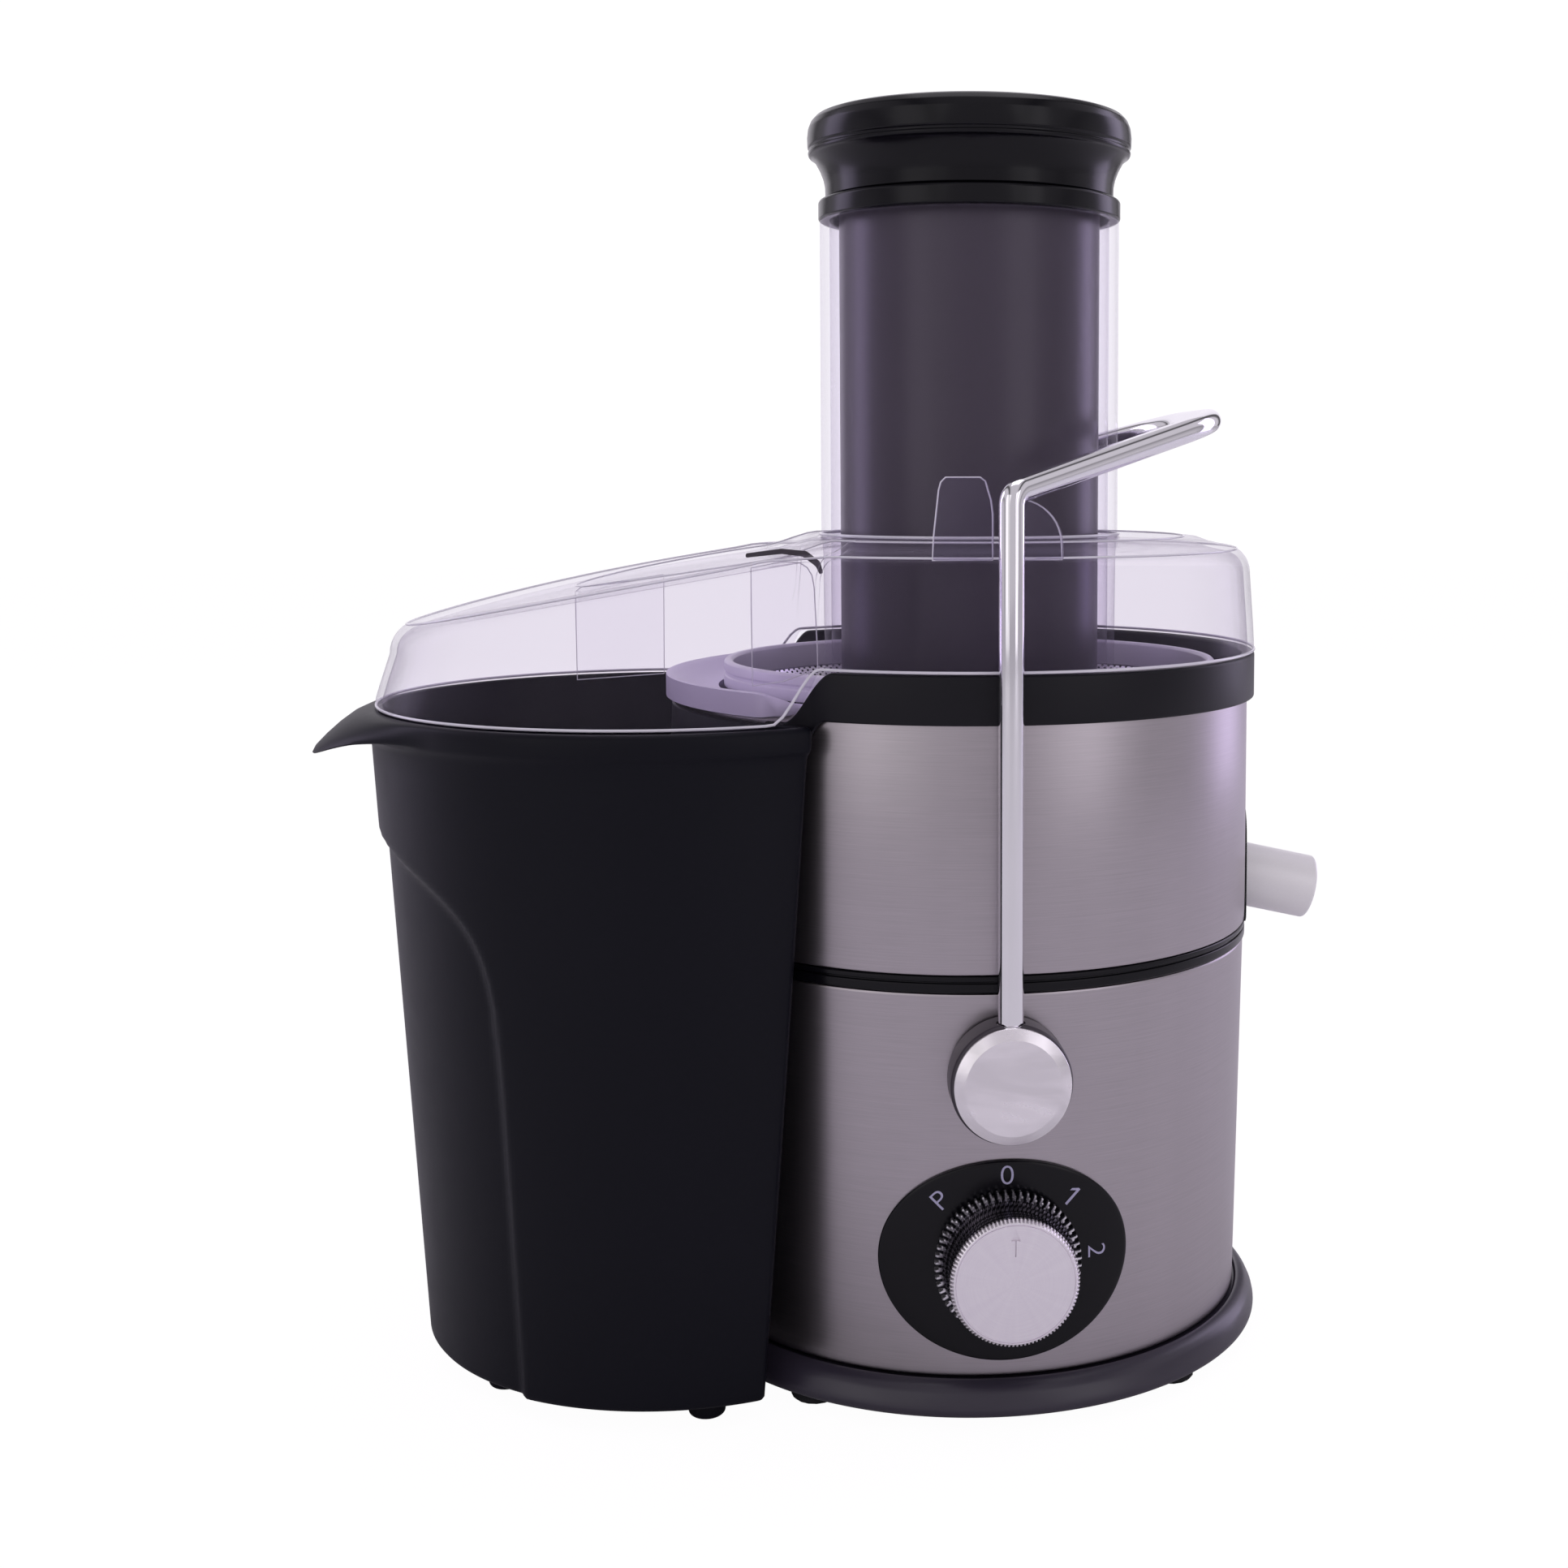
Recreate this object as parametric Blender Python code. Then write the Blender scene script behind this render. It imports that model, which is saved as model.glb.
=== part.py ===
"""Centrifugal juicer: a motor housing wrapped in brushed steel, a juice bowl with a spinning
filter basket, a clear lid with a wide feed chute and pusher, a locking bail, a speed knob and a
pulp bin that slides away from the side.

The parts are modelled about the upright axis of the motor, standing on the floor at height 0,
with the knob towards -Y, the spout towards +X and the pulp bin towards -X. One empty moves the
whole model so that the world origin is under the middle of its outline.
"""
from math import atan2, cos, degrees, exp, hypot, pi, radians, sin, sqrt, tan

import bmesh
import bpy
from mathutils import Matrix, Vector

MM = 0.001
GAP = 0.3 * MM
BODY_X = 43.1 * MM

# Steps around a full turn.
BIG_STEPS = 48
MID_STEPS = 28
SMALL_STEPS = 16

# Motor housing and its steel skin.
SKIN = 0.8 * MM
LOWER_BOTTOM_R = 83.3 * MM
LOWER_TOP_R = 85.7 * MM
UPPER_R = 86.2 * MM
BASE_TOP_Z = 13.5 * MM
BAND_LOW_Z = 122.5 * MM
BAND_HIGH_Z = 127.8 * MM
STEEL_TOP_Z = 198.0 * MM
HOUSING_R = 84.9 * MM
HOUSING_WALL = 2.5 * MM
DECK_Z = 116.0 * MM
DECK_THICK = 3.0 * MM
DECK_HOLE_R = 13.5 * MM

# Collar, bowl and lid.
COLLAR_R = 88.4 * MM
COLLAR_TOP_Z = 210.5 * MM
BOWL_RIM_Z = 199.9 * MM
TONGUE_R = 98.0 * MM
LID_R = 88.3 * MM
LID_WALL = 2.0 * MM
LID_BIN_R = 84.0 * MM
LID_CROWN_Z = 243.0 * MM
CHUTE_R = 46.0 * MM
CHUTE_WALL = 3.0 * MM
CHUTE_TOP_Z = 341.6 * MM
CHUTE_LOW_Z = 151.0 * MM
LUG_BACK_Y = 82.5 * MM
LUG_FRONT_Y = 86.0 * MM

# Pulp bin.
BIN_LOW_X = -91.0 * MM
BIN_LOW_R = 79.2 * MM
BIN_TOP_X = -96.0 * MM
BIN_TOP_R = 85.9 * MM
BIN_LOW_Z = 6.0 * MM
BIN_TOP_Z = 195.5 * MM
BIN_WALL = 2.4 * MM
BIN_CLEAR_LOW_R = 99.0 * MM
BIN_CLEAR_TOP_R = 89.8 * MM
BIN_CORNER_R = 2.2 * MM
BIN_RIM = 1.2 * MM
LIP_REACH = 15.3 * MM
LIP_DROOP = 7.6 * MM
GRIP_DEPTH = 2.3 * MM

# Spout.
SPOUT_R = 10.0 * MM
SPOUT_BORE = 8.4 * MM
SPOUT_TILT = radians(12.8)
SPOUT_MID_X = 89.0 * MM
SPOUT_MID_Z = 136.6 * MM
SPOUT_END_X = 109.6 * MM

# Bail, its pivot and the knob.
PIVOT_Z = 100.0 * MM
BAIL_Y = 92.5 * MM
BAIL_TUBE_R = 3.5 * MM
BAIL_TOP_Z = 259.8 * MM
BAIL_REACH = 71.5 * MM
BAIL_HALF_GRIP = 34.0 * MM
BAIL_RISE = 0.297
KNOB_Z = 47.5 * MM
DIAL_HALF_ARC = radians(24.5)
DIAL_HALF_HIGH = 28.7 * MM
DIAL_THICK = 1.4 * MM

# Motor and spindle.
STATOR_LOW_Z = 64.0 * MM
STATOR_HIGH_Z = 94.0 * MM
STATOR_BORE = 20.3 * MM
BOLT_X = 35.0 * MM


# ---------------------------------------------------------------- scene and materials

def clear_scene():
    for obj in list(bpy.data.objects):
        bpy.data.objects.remove(obj, do_unlink=True)


def material(name, colour, roughness, metallic=0.0, alpha=1.0):
    made = bpy.data.materials.new(name)
    made.use_nodes = True
    shader = made.node_tree.nodes["Principled BSDF"]
    shader.inputs["Base Color"].default_value = (*colour, 1.0)
    shader.inputs["Roughness"].default_value = roughness
    shader.inputs["Metallic"].default_value = metallic
    shader.inputs["Alpha"].default_value = alpha
    made.diffuse_color = (*colour, alpha)
    return made


def make_materials():
    return {
        "steel": material("brushed_steel", (0.50, 0.47, 0.50), 0.34, 1.0),
        "chrome": material("chrome", (0.82, 0.81, 0.84), 0.08, 1.0),
        "silver": material("silver_finish", (0.72, 0.69, 0.73), 0.28, 0.8),
        "black": material("black_plastic", (0.012, 0.011, 0.015), 0.42),
        "base": material("base_plastic", (0.030, 0.026, 0.045), 0.38),
        "charcoal": material("charcoal_plastic", (0.060, 0.055, 0.065), 0.40),
        "clear": material("clear_plastic", (0.86, 0.82, 0.93), 0.06, 0.0, 0.30),
        "grey": material("grey_plastic", (0.36, 0.33, 0.42), 0.35),
        "white": material("white_plastic", (0.70, 0.70, 0.68), 0.45),
        "rubber": material("rubber", (0.018, 0.018, 0.018), 0.75),
        "copper": material("copper_winding", (0.55, 0.22, 0.10), 0.40, 0.9),
        "iron": material("laminated_iron", (0.16, 0.16, 0.17), 0.50, 0.9),
        "carbon": material("carbon", (0.03, 0.03, 0.03), 0.60),
    }


def empty(name, place, holder=None):
    made = bpy.data.objects.new(name, None)
    bpy.context.scene.collection.objects.link(made)
    made.parent = holder
    made.location = place
    return made


def add_object(name, bm, finish, holder, sharp=32):
    """Makes a named object from a mesh built in body coordinates, with its origin on its holder."""
    bmesh.ops.remove_doubles(bm, verts=bm.verts, dist=1e-6)
    bmesh.ops.recalc_face_normals(bm, faces=bm.faces)
    if bm.calc_volume(signed=True) < 0:
        bmesh.ops.reverse_faces(bm, faces=bm.faces)
    if holder.parent:
        bm.transform(Matrix.Translation(-holder.location))
    mesh = bpy.data.meshes.new(name)
    bm.to_mesh(mesh)
    bm.free()
    mesh.shade_smooth()
    mesh.set_sharp_from_angle(angle=radians(sharp))
    if finish:
        mesh.materials.append(finish)
    obj = bpy.data.objects.new(name, mesh)
    bpy.context.scene.collection.objects.link(obj)
    obj.parent = holder
    return obj


# ---------------------------------------------------------------- shape helpers

def smooth(value):
    """0 below 0, 1 above 1, and an even curve between."""
    t = min(max(value, 0.0), 1.0)
    return t * t * (3 - 2 * t)


def mm(*pairs):
    """Turns a profile given in millimetres into metres."""
    return [(a * MM, b * MM) for a, b in pairs]


def swept(sections, closed):
    """Joins outlines that have the same number of points; open runs are capped at both ends."""
    bm = bmesh.new()
    rings = [[bm.verts.new(point) for point in section] for section in sections]
    count = len(rings[0])
    pairs = list(zip(rings, rings[1:]))
    if closed:
        pairs.append((rings[-1], rings[0]))
    for near, far in pairs:
        for i in range(count):
            j = (i + 1) % count
            bm.faces.new((near[i], near[j], far[j], far[i]))
    if not closed:
        bm.faces.new(list(reversed(rings[0])))
        bm.faces.new(rings[-1])
    return bm


def turned(profile, steps=BIG_STEPS, x=0.0, y=0.0):
    """A closed profile of (radius, height) turned about an upright line."""
    sections = []
    for k in range(steps):
        angle = 2 * pi * k / steps
        sections.append([(x + r * cos(angle), y + r * sin(angle), z) for r, z in profile])
    return swept(sections, True)


def turned_about_y(profile, steps, z, side=-1, x=0.0):
    """A closed profile of (radius, distance from the body axis) turned about a line along Y."""
    sections = []
    for k in range(steps):
        angle = 2 * pi * k / steps
        sections.append([(x + r * cos(angle), side * a, z + r * sin(angle)) for r, a in profile])
    return swept(sections, True)


def prism(outline, low, high):
    return swept([[(x, y, z) for x, y in outline] for z in (low, high)], False)


def framed(outer, inner, low, high):
    """A plate with one hole; both outlines have the same number of points."""
    layers = ((outer, low), (outer, high), (inner, high), (inner, low))
    return swept([[(x, y, z) for x, y in outline] for outline, z in layers], True)


def circle(radius, steps, x=0.0, y=0.0):
    turn = 2 * pi / steps
    return [(x + radius * cos(k * turn), y + radius * sin(k * turn)) for k in range(steps)]


def rounded_box(half_x, half_y, corner, steps):
    """Points of a rounded rectangle, one for each direction of an even turn."""
    points = []
    for k in range(steps):
        angle = 2 * pi * k / steps
        reach = min(half_x / max(abs(cos(angle)), 1e-9), half_y / max(abs(sin(angle)), 1e-9))
        x, y = reach * cos(angle), reach * sin(angle)
        over_x, over_y = abs(x) - (half_x - corner), abs(y) - (half_y - corner)
        if over_x > 0 and over_y > 0:
            pull = corner / hypot(over_x, over_y)
            x = (abs(x) - over_x + over_x * pull) * (1 if x > 0 else -1)
            y = (abs(y) - over_y + over_y * pull) * (1 if y > 0 else -1)
        points.append((x, y))
    return points


def box(low, high):
    outline = [(low[0], low[1]), (high[0], low[1]), (high[0], high[1]), (low[0], high[1])]
    return prism(outline, low[2], high[2])


def joined(meshes):
    """Puts several separate closed shapes in one mesh, for a cutter."""
    whole = bmesh.new()
    for bm in meshes:
        part = bpy.data.meshes.new("part")
        bm.to_mesh(part)
        bm.free()
        whole.from_mesh(part)
        bpy.data.meshes.remove(part)
    return whole


def cutter(name, bm, holder):
    made = add_object(name, bm, None, holder)
    made.hide_render = True
    made.display_type = "WIRE"
    return made


def apply_boolean(obj, tool, operation="DIFFERENCE"):
    modifier = obj.modifiers.new(tool.name, "BOOLEAN")
    modifier.operation = operation
    modifier.object = tool
    modifier.solver = "EXACT"


def along_y(radius, low, high, z, side=-1, steps=SMALL_STEPS, x=0.0):
    """A plain rod along Y between two distances from the body axis."""
    profile = ((0, low), (radius, low), (radius, high), (0, high))
    return turned_about_y(profile, steps, z, side, x)


def steel_r(z):
    """Outer radius of the tapered lower steel panel at a height."""
    share = (z - BASE_TOP_Z) / (BAND_LOW_Z - BASE_TOP_Z)
    return LOWER_BOTTOM_R + (LOWER_TOP_R - LOWER_BOTTOM_R) * share


def rim_z(x):
    """Height of the seam between lid and collar: it steps down in an S to the level of the bin."""
    return COLLAR_TOP_Z - (COLLAR_TOP_Z - BIN_TOP_Z - GAP) * smooth((-50 * MM - x) / (14 * MM))


# ---------------------------------------------------------------- motor housing

def add_base(root, mats):
    ring = mm((78, 4), (89.4, 4), (90.2, 4.8), (89.9, 7.6), (88.8, 11), (86.8, 13), (84, 13.5),
              (78, 13.5))
    add_object("base_ring", turned(ring), mats["base"], root)
    plate = mm((0, 5), (77.6, 5), (77.6, 7.4), (0, 7.4))
    bottom = add_object("bottom_plate", turned(plate, MID_STEPS), mats["black"], root)
    slots = []
    for k in range(10):
        slot = box((22 * MM, -1.6 * MM, 3 * MM), (44 * MM, 1.6 * MM, 9 * MM))
        slot.transform(Matrix.Rotation(2 * pi * k / 10, 4, "Z"))
        slots.append(slot)
    apply_boolean(bottom, cutter("vent_cutter", joined(slots), root))
    foot = mm((0, 0), (6.2, 0), (7, 0.8), (7, 3.7), (0, 3.7))
    corners = {"front_left": (-52, -60), "front_right": (52, -60),
               "rear_left": (-52, 60), "rear_right": (52, 60)}
    for place, (x, y) in corners.items():
        shape = turned(foot, SMALL_STEPS, x * MM, y * MM)
        add_object("foot_" + place, shape, mats["rubber"], root)


def arch_outline(half_width, top, flare, low):
    """Outline (across, up) of the spout opening: straight sides, round head, flared feet."""
    shoulder = top - half_width
    points = [(half_width + flare, low - 2 * MM)]
    for k in range(5):
        angle = radians(90) * k / 4
        points.append((half_width + flare - flare * sin(angle), low + flare - flare * cos(angle)))
    for k in range(13):
        angle = pi * k / 12
        points.append((half_width * cos(angle), shoulder + half_width * sin(angle)))
    for k in range(4, -1, -1):
        angle = radians(90) * k / 4
        points.append((-half_width - flare + flare * sin(angle), low + flare - flare * cos(angle)))
    points.append((-half_width - flare, low - 2 * MM))
    return points


def arch_block(half_width, top, flare, low, near, far):
    outline = arch_outline(half_width, top, flare, low)
    return swept([[(x, y, z) for y, z in outline] for x in (near, far)], False)


def spout_rod(radius, near_x, far_x, steps=MID_STEPS):
    """A rod on the tilted axis of the spout, between two places along X."""
    slope = 1 / cos(SPOUT_TILT)
    low = (near_x - SPOUT_MID_X) * slope
    high = (far_x - SPOUT_MID_X) * slope
    bm = turned(((0, low), (radius, low), (radius, high), (0, high)), steps)
    bm.transform(spout_placement())
    return bm


def spout_placement():
    """Turns the upright direction to +X, dips it by the tilt and moves it onto the spout's axis."""
    turn = Matrix.Rotation(radians(90) + SPOUT_TILT, 4, "Y")
    return Matrix.Translation((SPOUT_MID_X, 0, SPOUT_MID_Z)) @ turn


def add_housing(root, mats):
    low_r = LOWER_BOTTOM_R - SKIN - 2 * GAP
    high_r = LOWER_TOP_R - SKIN - 2 * GAP
    low_z = BASE_TOP_Z + 2 * GAP
    shell = [(low_r, low_z), (high_r, BAND_LOW_Z - GAP), (HOUSING_R, BAND_LOW_Z),
             (HOUSING_R, STEEL_TOP_Z - GAP), (HOUSING_R - HOUSING_WALL, STEEL_TOP_Z - GAP),
             (high_r - HOUSING_WALL, DECK_Z + DECK_THICK), (DECK_HOLE_R, DECK_Z + DECK_THICK),
             (DECK_HOLE_R, DECK_Z), (high_r - HOUSING_WALL, DECK_Z),
             (low_r - HOUSING_WALL, low_z)]
    housing = add_object("housing", turned(shell), mats["black"], root)
    lower = [(LOWER_BOTTOM_R - SKIN, BASE_TOP_Z + GAP), (LOWER_BOTTOM_R, BASE_TOP_Z + GAP),
             (LOWER_TOP_R, BAND_LOW_Z), (LOWER_TOP_R - SKIN, BAND_LOW_Z)]
    lower_panel = add_object("lower_steel_panel", turned(lower), mats["steel"], root)
    band = [(HOUSING_R + GAP, BAND_LOW_Z + GAP), (UPPER_R - GAP, BAND_LOW_Z + GAP),
            (UPPER_R, BAND_HIGH_Z - GAP), (HOUSING_R + GAP, BAND_HIGH_Z - GAP)]
    mid_band = add_object("mid_band", turned(band), mats["black"], root)
    upper = [(UPPER_R - SKIN, BAND_HIGH_Z), (UPPER_R, BAND_HIGH_Z), (UPPER_R, STEEL_TOP_Z),
             (UPPER_R - SKIN, STEEL_TOP_Z)]
    upper_panel = add_object("upper_steel_panel", turned(upper), mats["steel"], root)

    opening = arch_block(22 * MM, 164 * MM, 9 * MM, BAND_HIGH_Z, 60 * MM, 95 * MM)
    apply_boolean(upper_panel, cutter("spout_opening_cutter", opening, root))
    clearance = spout_rod(SPOUT_R + 0.4 * MM, 74 * MM, 95 * MM)
    spout_cut = cutter("spout_clearance_cutter", clearance, root)
    apply_boolean(housing, spout_cut)
    apply_boolean(mid_band, spout_cut)
    fill = arch_block(22 * MM - GAP, 164 * MM - GAP, 9 * MM + GAP, BAND_HIGH_Z - GAP, 60 * MM,
                      95 * MM)
    plate = [(HOUSING_R + GAP, BAND_HIGH_Z), (UPPER_R + 0.6 * MM, BAND_HIGH_Z),
             (UPPER_R + 0.6 * MM, 170 * MM), (HOUSING_R + GAP, 170 * MM)]
    surround = add_object("spout_surround", turned(plate), mats["black"], root)
    fill_tool = cutter("surround_outline", fill, root)
    apply_boolean(surround, fill_tool, "INTERSECT")
    apply_boolean(surround, spout_cut)

    holes = [along_y(4.6 * MM, 70 * MM, 90 * MM, PIVOT_Z, -1),
             along_y(4.6 * MM, 70 * MM, 90 * MM, PIVOT_Z, 1),
             along_y(3.8 * MM, 70 * MM, 95 * MM, KNOB_Z, -1),
             along_y(6.4 * MM, 70 * MM, 90 * MM, 30 * MM, 1)]
    hole_tool = cutter("side_hole_cutter", joined(holes), root)
    apply_boolean(housing, hole_tool)
    apply_boolean(lower_panel, hole_tool)


def collar_section(angle):
    """Cross-section of the collar at an angle from +X; its ends flare out and step down."""
    turn = abs(degrees(angle))
    end = smooth((turn - 126) / 4)
    inner = 84.4 * MM + 2.4 * MM * smooth((turn - 119) / 5)
    outer = COLLAR_R + 0.8 * MM * end
    skirt_inner = UPPER_R + 2 * GAP
    top = rim_z(outer * cos(angle) - 3.0 * MM * smooth((turn - 112) / 8))
    shelf = min(STEEL_TOP_Z + GAP, top - 2.5 * MM)
    bottom = STEEL_TOP_Z - 1.2 * MM - 9 * MM * smooth((turn - 124) / 6)
    shelf = max(shelf, bottom + 1 * MM)
    profile = [(inner, top), (outer - 1.2 * MM, top), (outer, top - 1.2 * MM), (outer, bottom),
               (skirt_inner, bottom), (skirt_inner, shelf), (inner, shelf)]
    return [(r * cos(angle), r * sin(angle), z) for r, z in profile]


def add_collar(root, mats):
    turns = [-137, -134, -132, -130, -128.5, -127, -125.5, -124, -122, -119]
    turns += [-112 + 224 * k / 40 for k in range(41)]
    turns += [-turn for turn in reversed(turns[:10])]
    sections = [collar_section(radians(turn)) for turn in turns]
    add_object("collar", swept(sections, False), mats["black"], root)


# ---------------------------------------------------------------- bowl, spout and basket

def bowl_section(angle):
    """Cross-section of the juice bowl; over the pulp bin its flange grows into a tongue."""
    from_bin = 180 - abs(degrees(angle))
    tongue = smooth((47 - from_bin) / 5)
    flange = 84.0 * MM + (TONGUE_R - 84.0 * MM) * tongue
    lift = 0.5 * MM * tongue
    lip = 6.0 * MM * tongue
    profile = mm((12.5, 138), (20, 138), (21, 129), (78, 129), (80, 197.9))
    profile += [(flange - 2.0 * MM, 197.9 * MM + lift), (flange, 198.2 * MM + lift + lip * 0.3),
                (flange + 0.4 * MM * tongue, 199.9 * MM + lift + lip),
                (flange - 1.6 * MM * tongue - 0.2 * MM, BOWL_RIM_Z + lift + lip),
                (flange - 2.2 * MM * tongue - 0.4 * MM, BOWL_RIM_Z + lift + lip * 0.1)]
    profile += mm((78, 199.9), (75.9, 131.2), (23, 131.2), (22, 140), (12.5, 140))
    return [(r * cos(angle), r * sin(angle), z) for r, z in profile]


def add_bowl(root, mats):
    turns = [-180 + 360 * k / 48 for k in range(48)]
    sections = [bowl_section(radians(turn)) for turn in turns]
    bowl = add_object("juice_bowl", swept(sections, True), mats["grey"], root)
    outlet = spout_rod(SPOUT_BORE, 72 * MM, 86 * MM, SMALL_STEPS)
    apply_boolean(bowl, cutter("outlet_cutter", outlet, root))

    slope = 1 / cos(SPOUT_TILT)
    low = (70 * MM - SPOUT_MID_X) * slope
    high = (SPOUT_END_X - SPOUT_MID_X) * slope
    tube = turned(((SPOUT_BORE, low), (SPOUT_R, low), (SPOUT_R, high - 0.5 * MM),
                   (SPOUT_R - 0.4 * MM, high), (SPOUT_BORE, high)), MID_STEPS)
    tube.transform(spout_placement())
    spout = add_object("juice_spout", tube, mats["silver"], root)
    core = turned(mm((0, 100), (78.75, 100), (78.75, 180), (0, 180)), 96)
    apply_boolean(spout, cutter("bowl_clearance_cutter", core, root))


def add_basket(spindle, mats):
    hub = mm((12, 140.8), (22, 140.8), (22, 143.4), (16, 143.4), (16, 153), (13.5, 157),
             (0, 158), (0, 154.8), (12, 154.8))
    add_object("basket_hub", turned(hub, SMALL_STEPS), mats["charcoal"], spindle)
    cone = mm((50.4, 143.8), (51.3, 143.4), (74, 199.6), (73.2, 199.6))
    add_object("filter_basket", turned(cone, MID_STEPS), mats["steel"], spindle)
    rim = mm((72.8, 199.9), (76.3, 199.9), (76.3, 206.7), (75.5, 207.5), (74.2, 207.5),
             (73.4, 206.7))
    add_object("basket_rim", turned(rim, MID_STEPS), mats["white"], spindle)
    add_object("grater_disc", grater(), mats["steel"], spindle)


def grater():
    """The cutting disc at the foot of the basket, with rows of small raised teeth."""
    inner, outer, rows, steps = 16.3 * MM, 50.0 * MM, 5, 28
    low, high = 143.8 * MM, 145.0 * MM
    radii = [inner + (outer - inner) * k / rows for k in range(rows + 1)]
    bm = turned([(outer, low)] + [(r, high) for r in reversed(radii)] + [(inner, low)], steps)
    bm.faces.ensure_lookup_table()
    teeth = []
    for face in bm.faces:
        middle = face.calc_center_median()
        flat = all(abs(vert.co.z - high) < 1e-6 for vert in face.verts)
        row = int((hypot(middle.x, middle.y) - inner) / (outer - inner) * rows)
        spoke = int(degrees(atan2(middle.y, middle.x)) // (360 / steps))
        if flat and 0 < row < rows and (spoke + row) % 2 == 0:
            teeth.append(face)
    bmesh.ops.poke(bm, faces=teeth, offset=0.0014)
    return bm


# ---------------------------------------------------------------- lid and chute

def outline_r(angle, inset):
    """Distance from the body axis to the lid's outline, moved inwards by an inset.

    The outline is a circle round the body joined to a circle over the pulp bin."""
    body = LID_R - inset
    bin_r = LID_BIN_R - inset
    off_line = BIN_TOP_X * sin(angle)
    if cos(angle) >= 0 or abs(off_line) >= bin_r:
        return body
    far = BIN_TOP_X * cos(angle) + sqrt(bin_r * bin_r - off_line * off_line)
    return max(body, far)


def shoulder_z(x):
    """Height of the lid's shoulder: level over the body and sloping down over the bin."""
    over = max(-x - 45 * MM, 0.0) / MM
    return LID_CROWN_Z - (0.125 * over + 0.00045 * over * over) * MM


def roof_point(angle, inset, share, drop):
    """A point of the roof between the shoulder (share 0) and the chute (share 1)."""
    start = outline_r(angle, inset)
    radius = start + (CHUTE_R + 1.0 * MM - start) * share
    x = radius * cos(angle)
    crown = 2.6 * MM * sin(pi / 2 * share)
    return radius, shoulder_z(x) + crown - drop


def lid_section(angle):
    """Cross-section of lid and chute at an angle, from the outer rim over the top and back."""
    body_side = outline_r(angle, 0) <= LID_R + 1e-6
    draft = 1.6 * MM if body_side else 4.4 * MM
    bend = 9.0 * MM
    edge_x = outline_r(angle, 0) * cos(angle)
    rim = rim_z(edge_x) + GAP
    top = shoulder_z(outline_r(angle, draft + bend) * cos(angle))

    def side(skin):
        """The wall and rounded shoulder, moved inwards by the skin thickness."""
        reach = bend - skin
        points = [(outline_r(angle, skin), rim),
                  (outline_r(angle, skin + draft), top - bend)]
        for k in (1, 2, 3, 4):
            turn = radians(22.5 * k)
            inset = draft + bend - reach * cos(turn)
            points.append((outline_r(angle, inset), top - bend + reach * sin(turn)))
        return points

    inset = draft + bend
    shares = (0.3, 0.65, 0.97)
    outside = side(0) + [roof_point(angle, inset, share, 0) for share in shares]
    inside = side(LID_WALL) + [roof_point(angle, inset, share, LID_WALL) for share in shares]
    base_z = LID_CROWN_Z + 2.6 * MM
    chute = [(CHUTE_R, base_z + 1.2 * MM), (CHUTE_R, CHUTE_TOP_Z),
             (CHUTE_R - CHUTE_WALL, CHUTE_TOP_Z), (CHUTE_R - CHUTE_WALL, CHUTE_LOW_Z),
             (CHUTE_R - 1.2 * MM, CHUTE_LOW_Z), (CHUTE_R - 0.6 * MM, base_z - LID_WALL - 1 * MM)]
    profile = outside + chute + list(reversed(inside))
    return [(r * cos(angle), r * sin(angle), z) for r, z in profile]


def lid_angles():
    """Even steps round the body and the bin, with finer ones where their circles meet."""
    half = [0, 9, 18, 27, 36, 45, 54, 63, 72, 81, 90, 99, 107, 114, 119, 122.5, 125, 126.2, 127,
            128.2, 130, 132.5, 136, 140, 145, 150, 156, 162, 168, 174]
    return [radians(a) for a in half] + [pi] + [radians(-a) for a in reversed(half[1:])]


def lug_outline():
    """Outline (across, up) of a locking lug: tall tab, notch for the bail, rounded cam."""
    return mm((-20.2, 236), (-18.4, 259), (-17.6, 262), (-15.5, 263.9), (-9.0, 263.9),
              (-6.6, 262.4), (-5.2, 259), (-4.6, 253), (-3.4, 251), (3.4, 251), (4.4, 252.5),
              (4.8, 257.4), (8.2, 256.6), (11.4, 254), (13.8, 249.6), (14.9, 244), (15.2, 236))


def add_lid(root, mats):
    sections = [lid_section(angle) for angle in lid_angles()]
    lid = add_object("lid", swept(sections, True), mats["clear"], root, sharp=40)
    for name, side in (("front", -1), ("rear", 1)):
        layers = [[(x, side * y, z) for x, z in lug_outline()] for y in (LUG_FRONT_Y, LUG_BACK_Y)]
        lug = cutter(name + "_lug_shape", swept(layers, False), root)
        apply_boolean(lid, lug, "UNION")
    ring = mm((43, 341.9), (46.4, 341.9), (46.4, 347), (45.8, 347.8), (43, 347.8))
    add_object("chute_ring", turned(ring), mats["black"], root)


def add_pusher(slide, mats):
    tube = mm((0, 160), (39.4, 160), (40.6, 161.6), (40.8, 347.6), (38.8, 347.6),
              (38.6, 162.8), (0, 162.8))
    add_object("pusher_body", turned(tube, 40), mats["charcoal"], slide)
    cap = mm((44, 348.1), (44.3, 352), (45.4, 356), (47.2, 359.8), (49.3, 361), (49.7, 362.2),
             (49.7, 366.6), (49, 370), (47.2, 372.2), (44, 373.4), (39, 371.8), (0, 371.4),
             (0, 369), (36, 369), (36, 338), (38.2, 338), (38.4, 348.1))
    add_object("pusher_cap", turned(cap, 40), mats["black"], slide)


# ---------------------------------------------------------------- pulp bin

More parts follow.
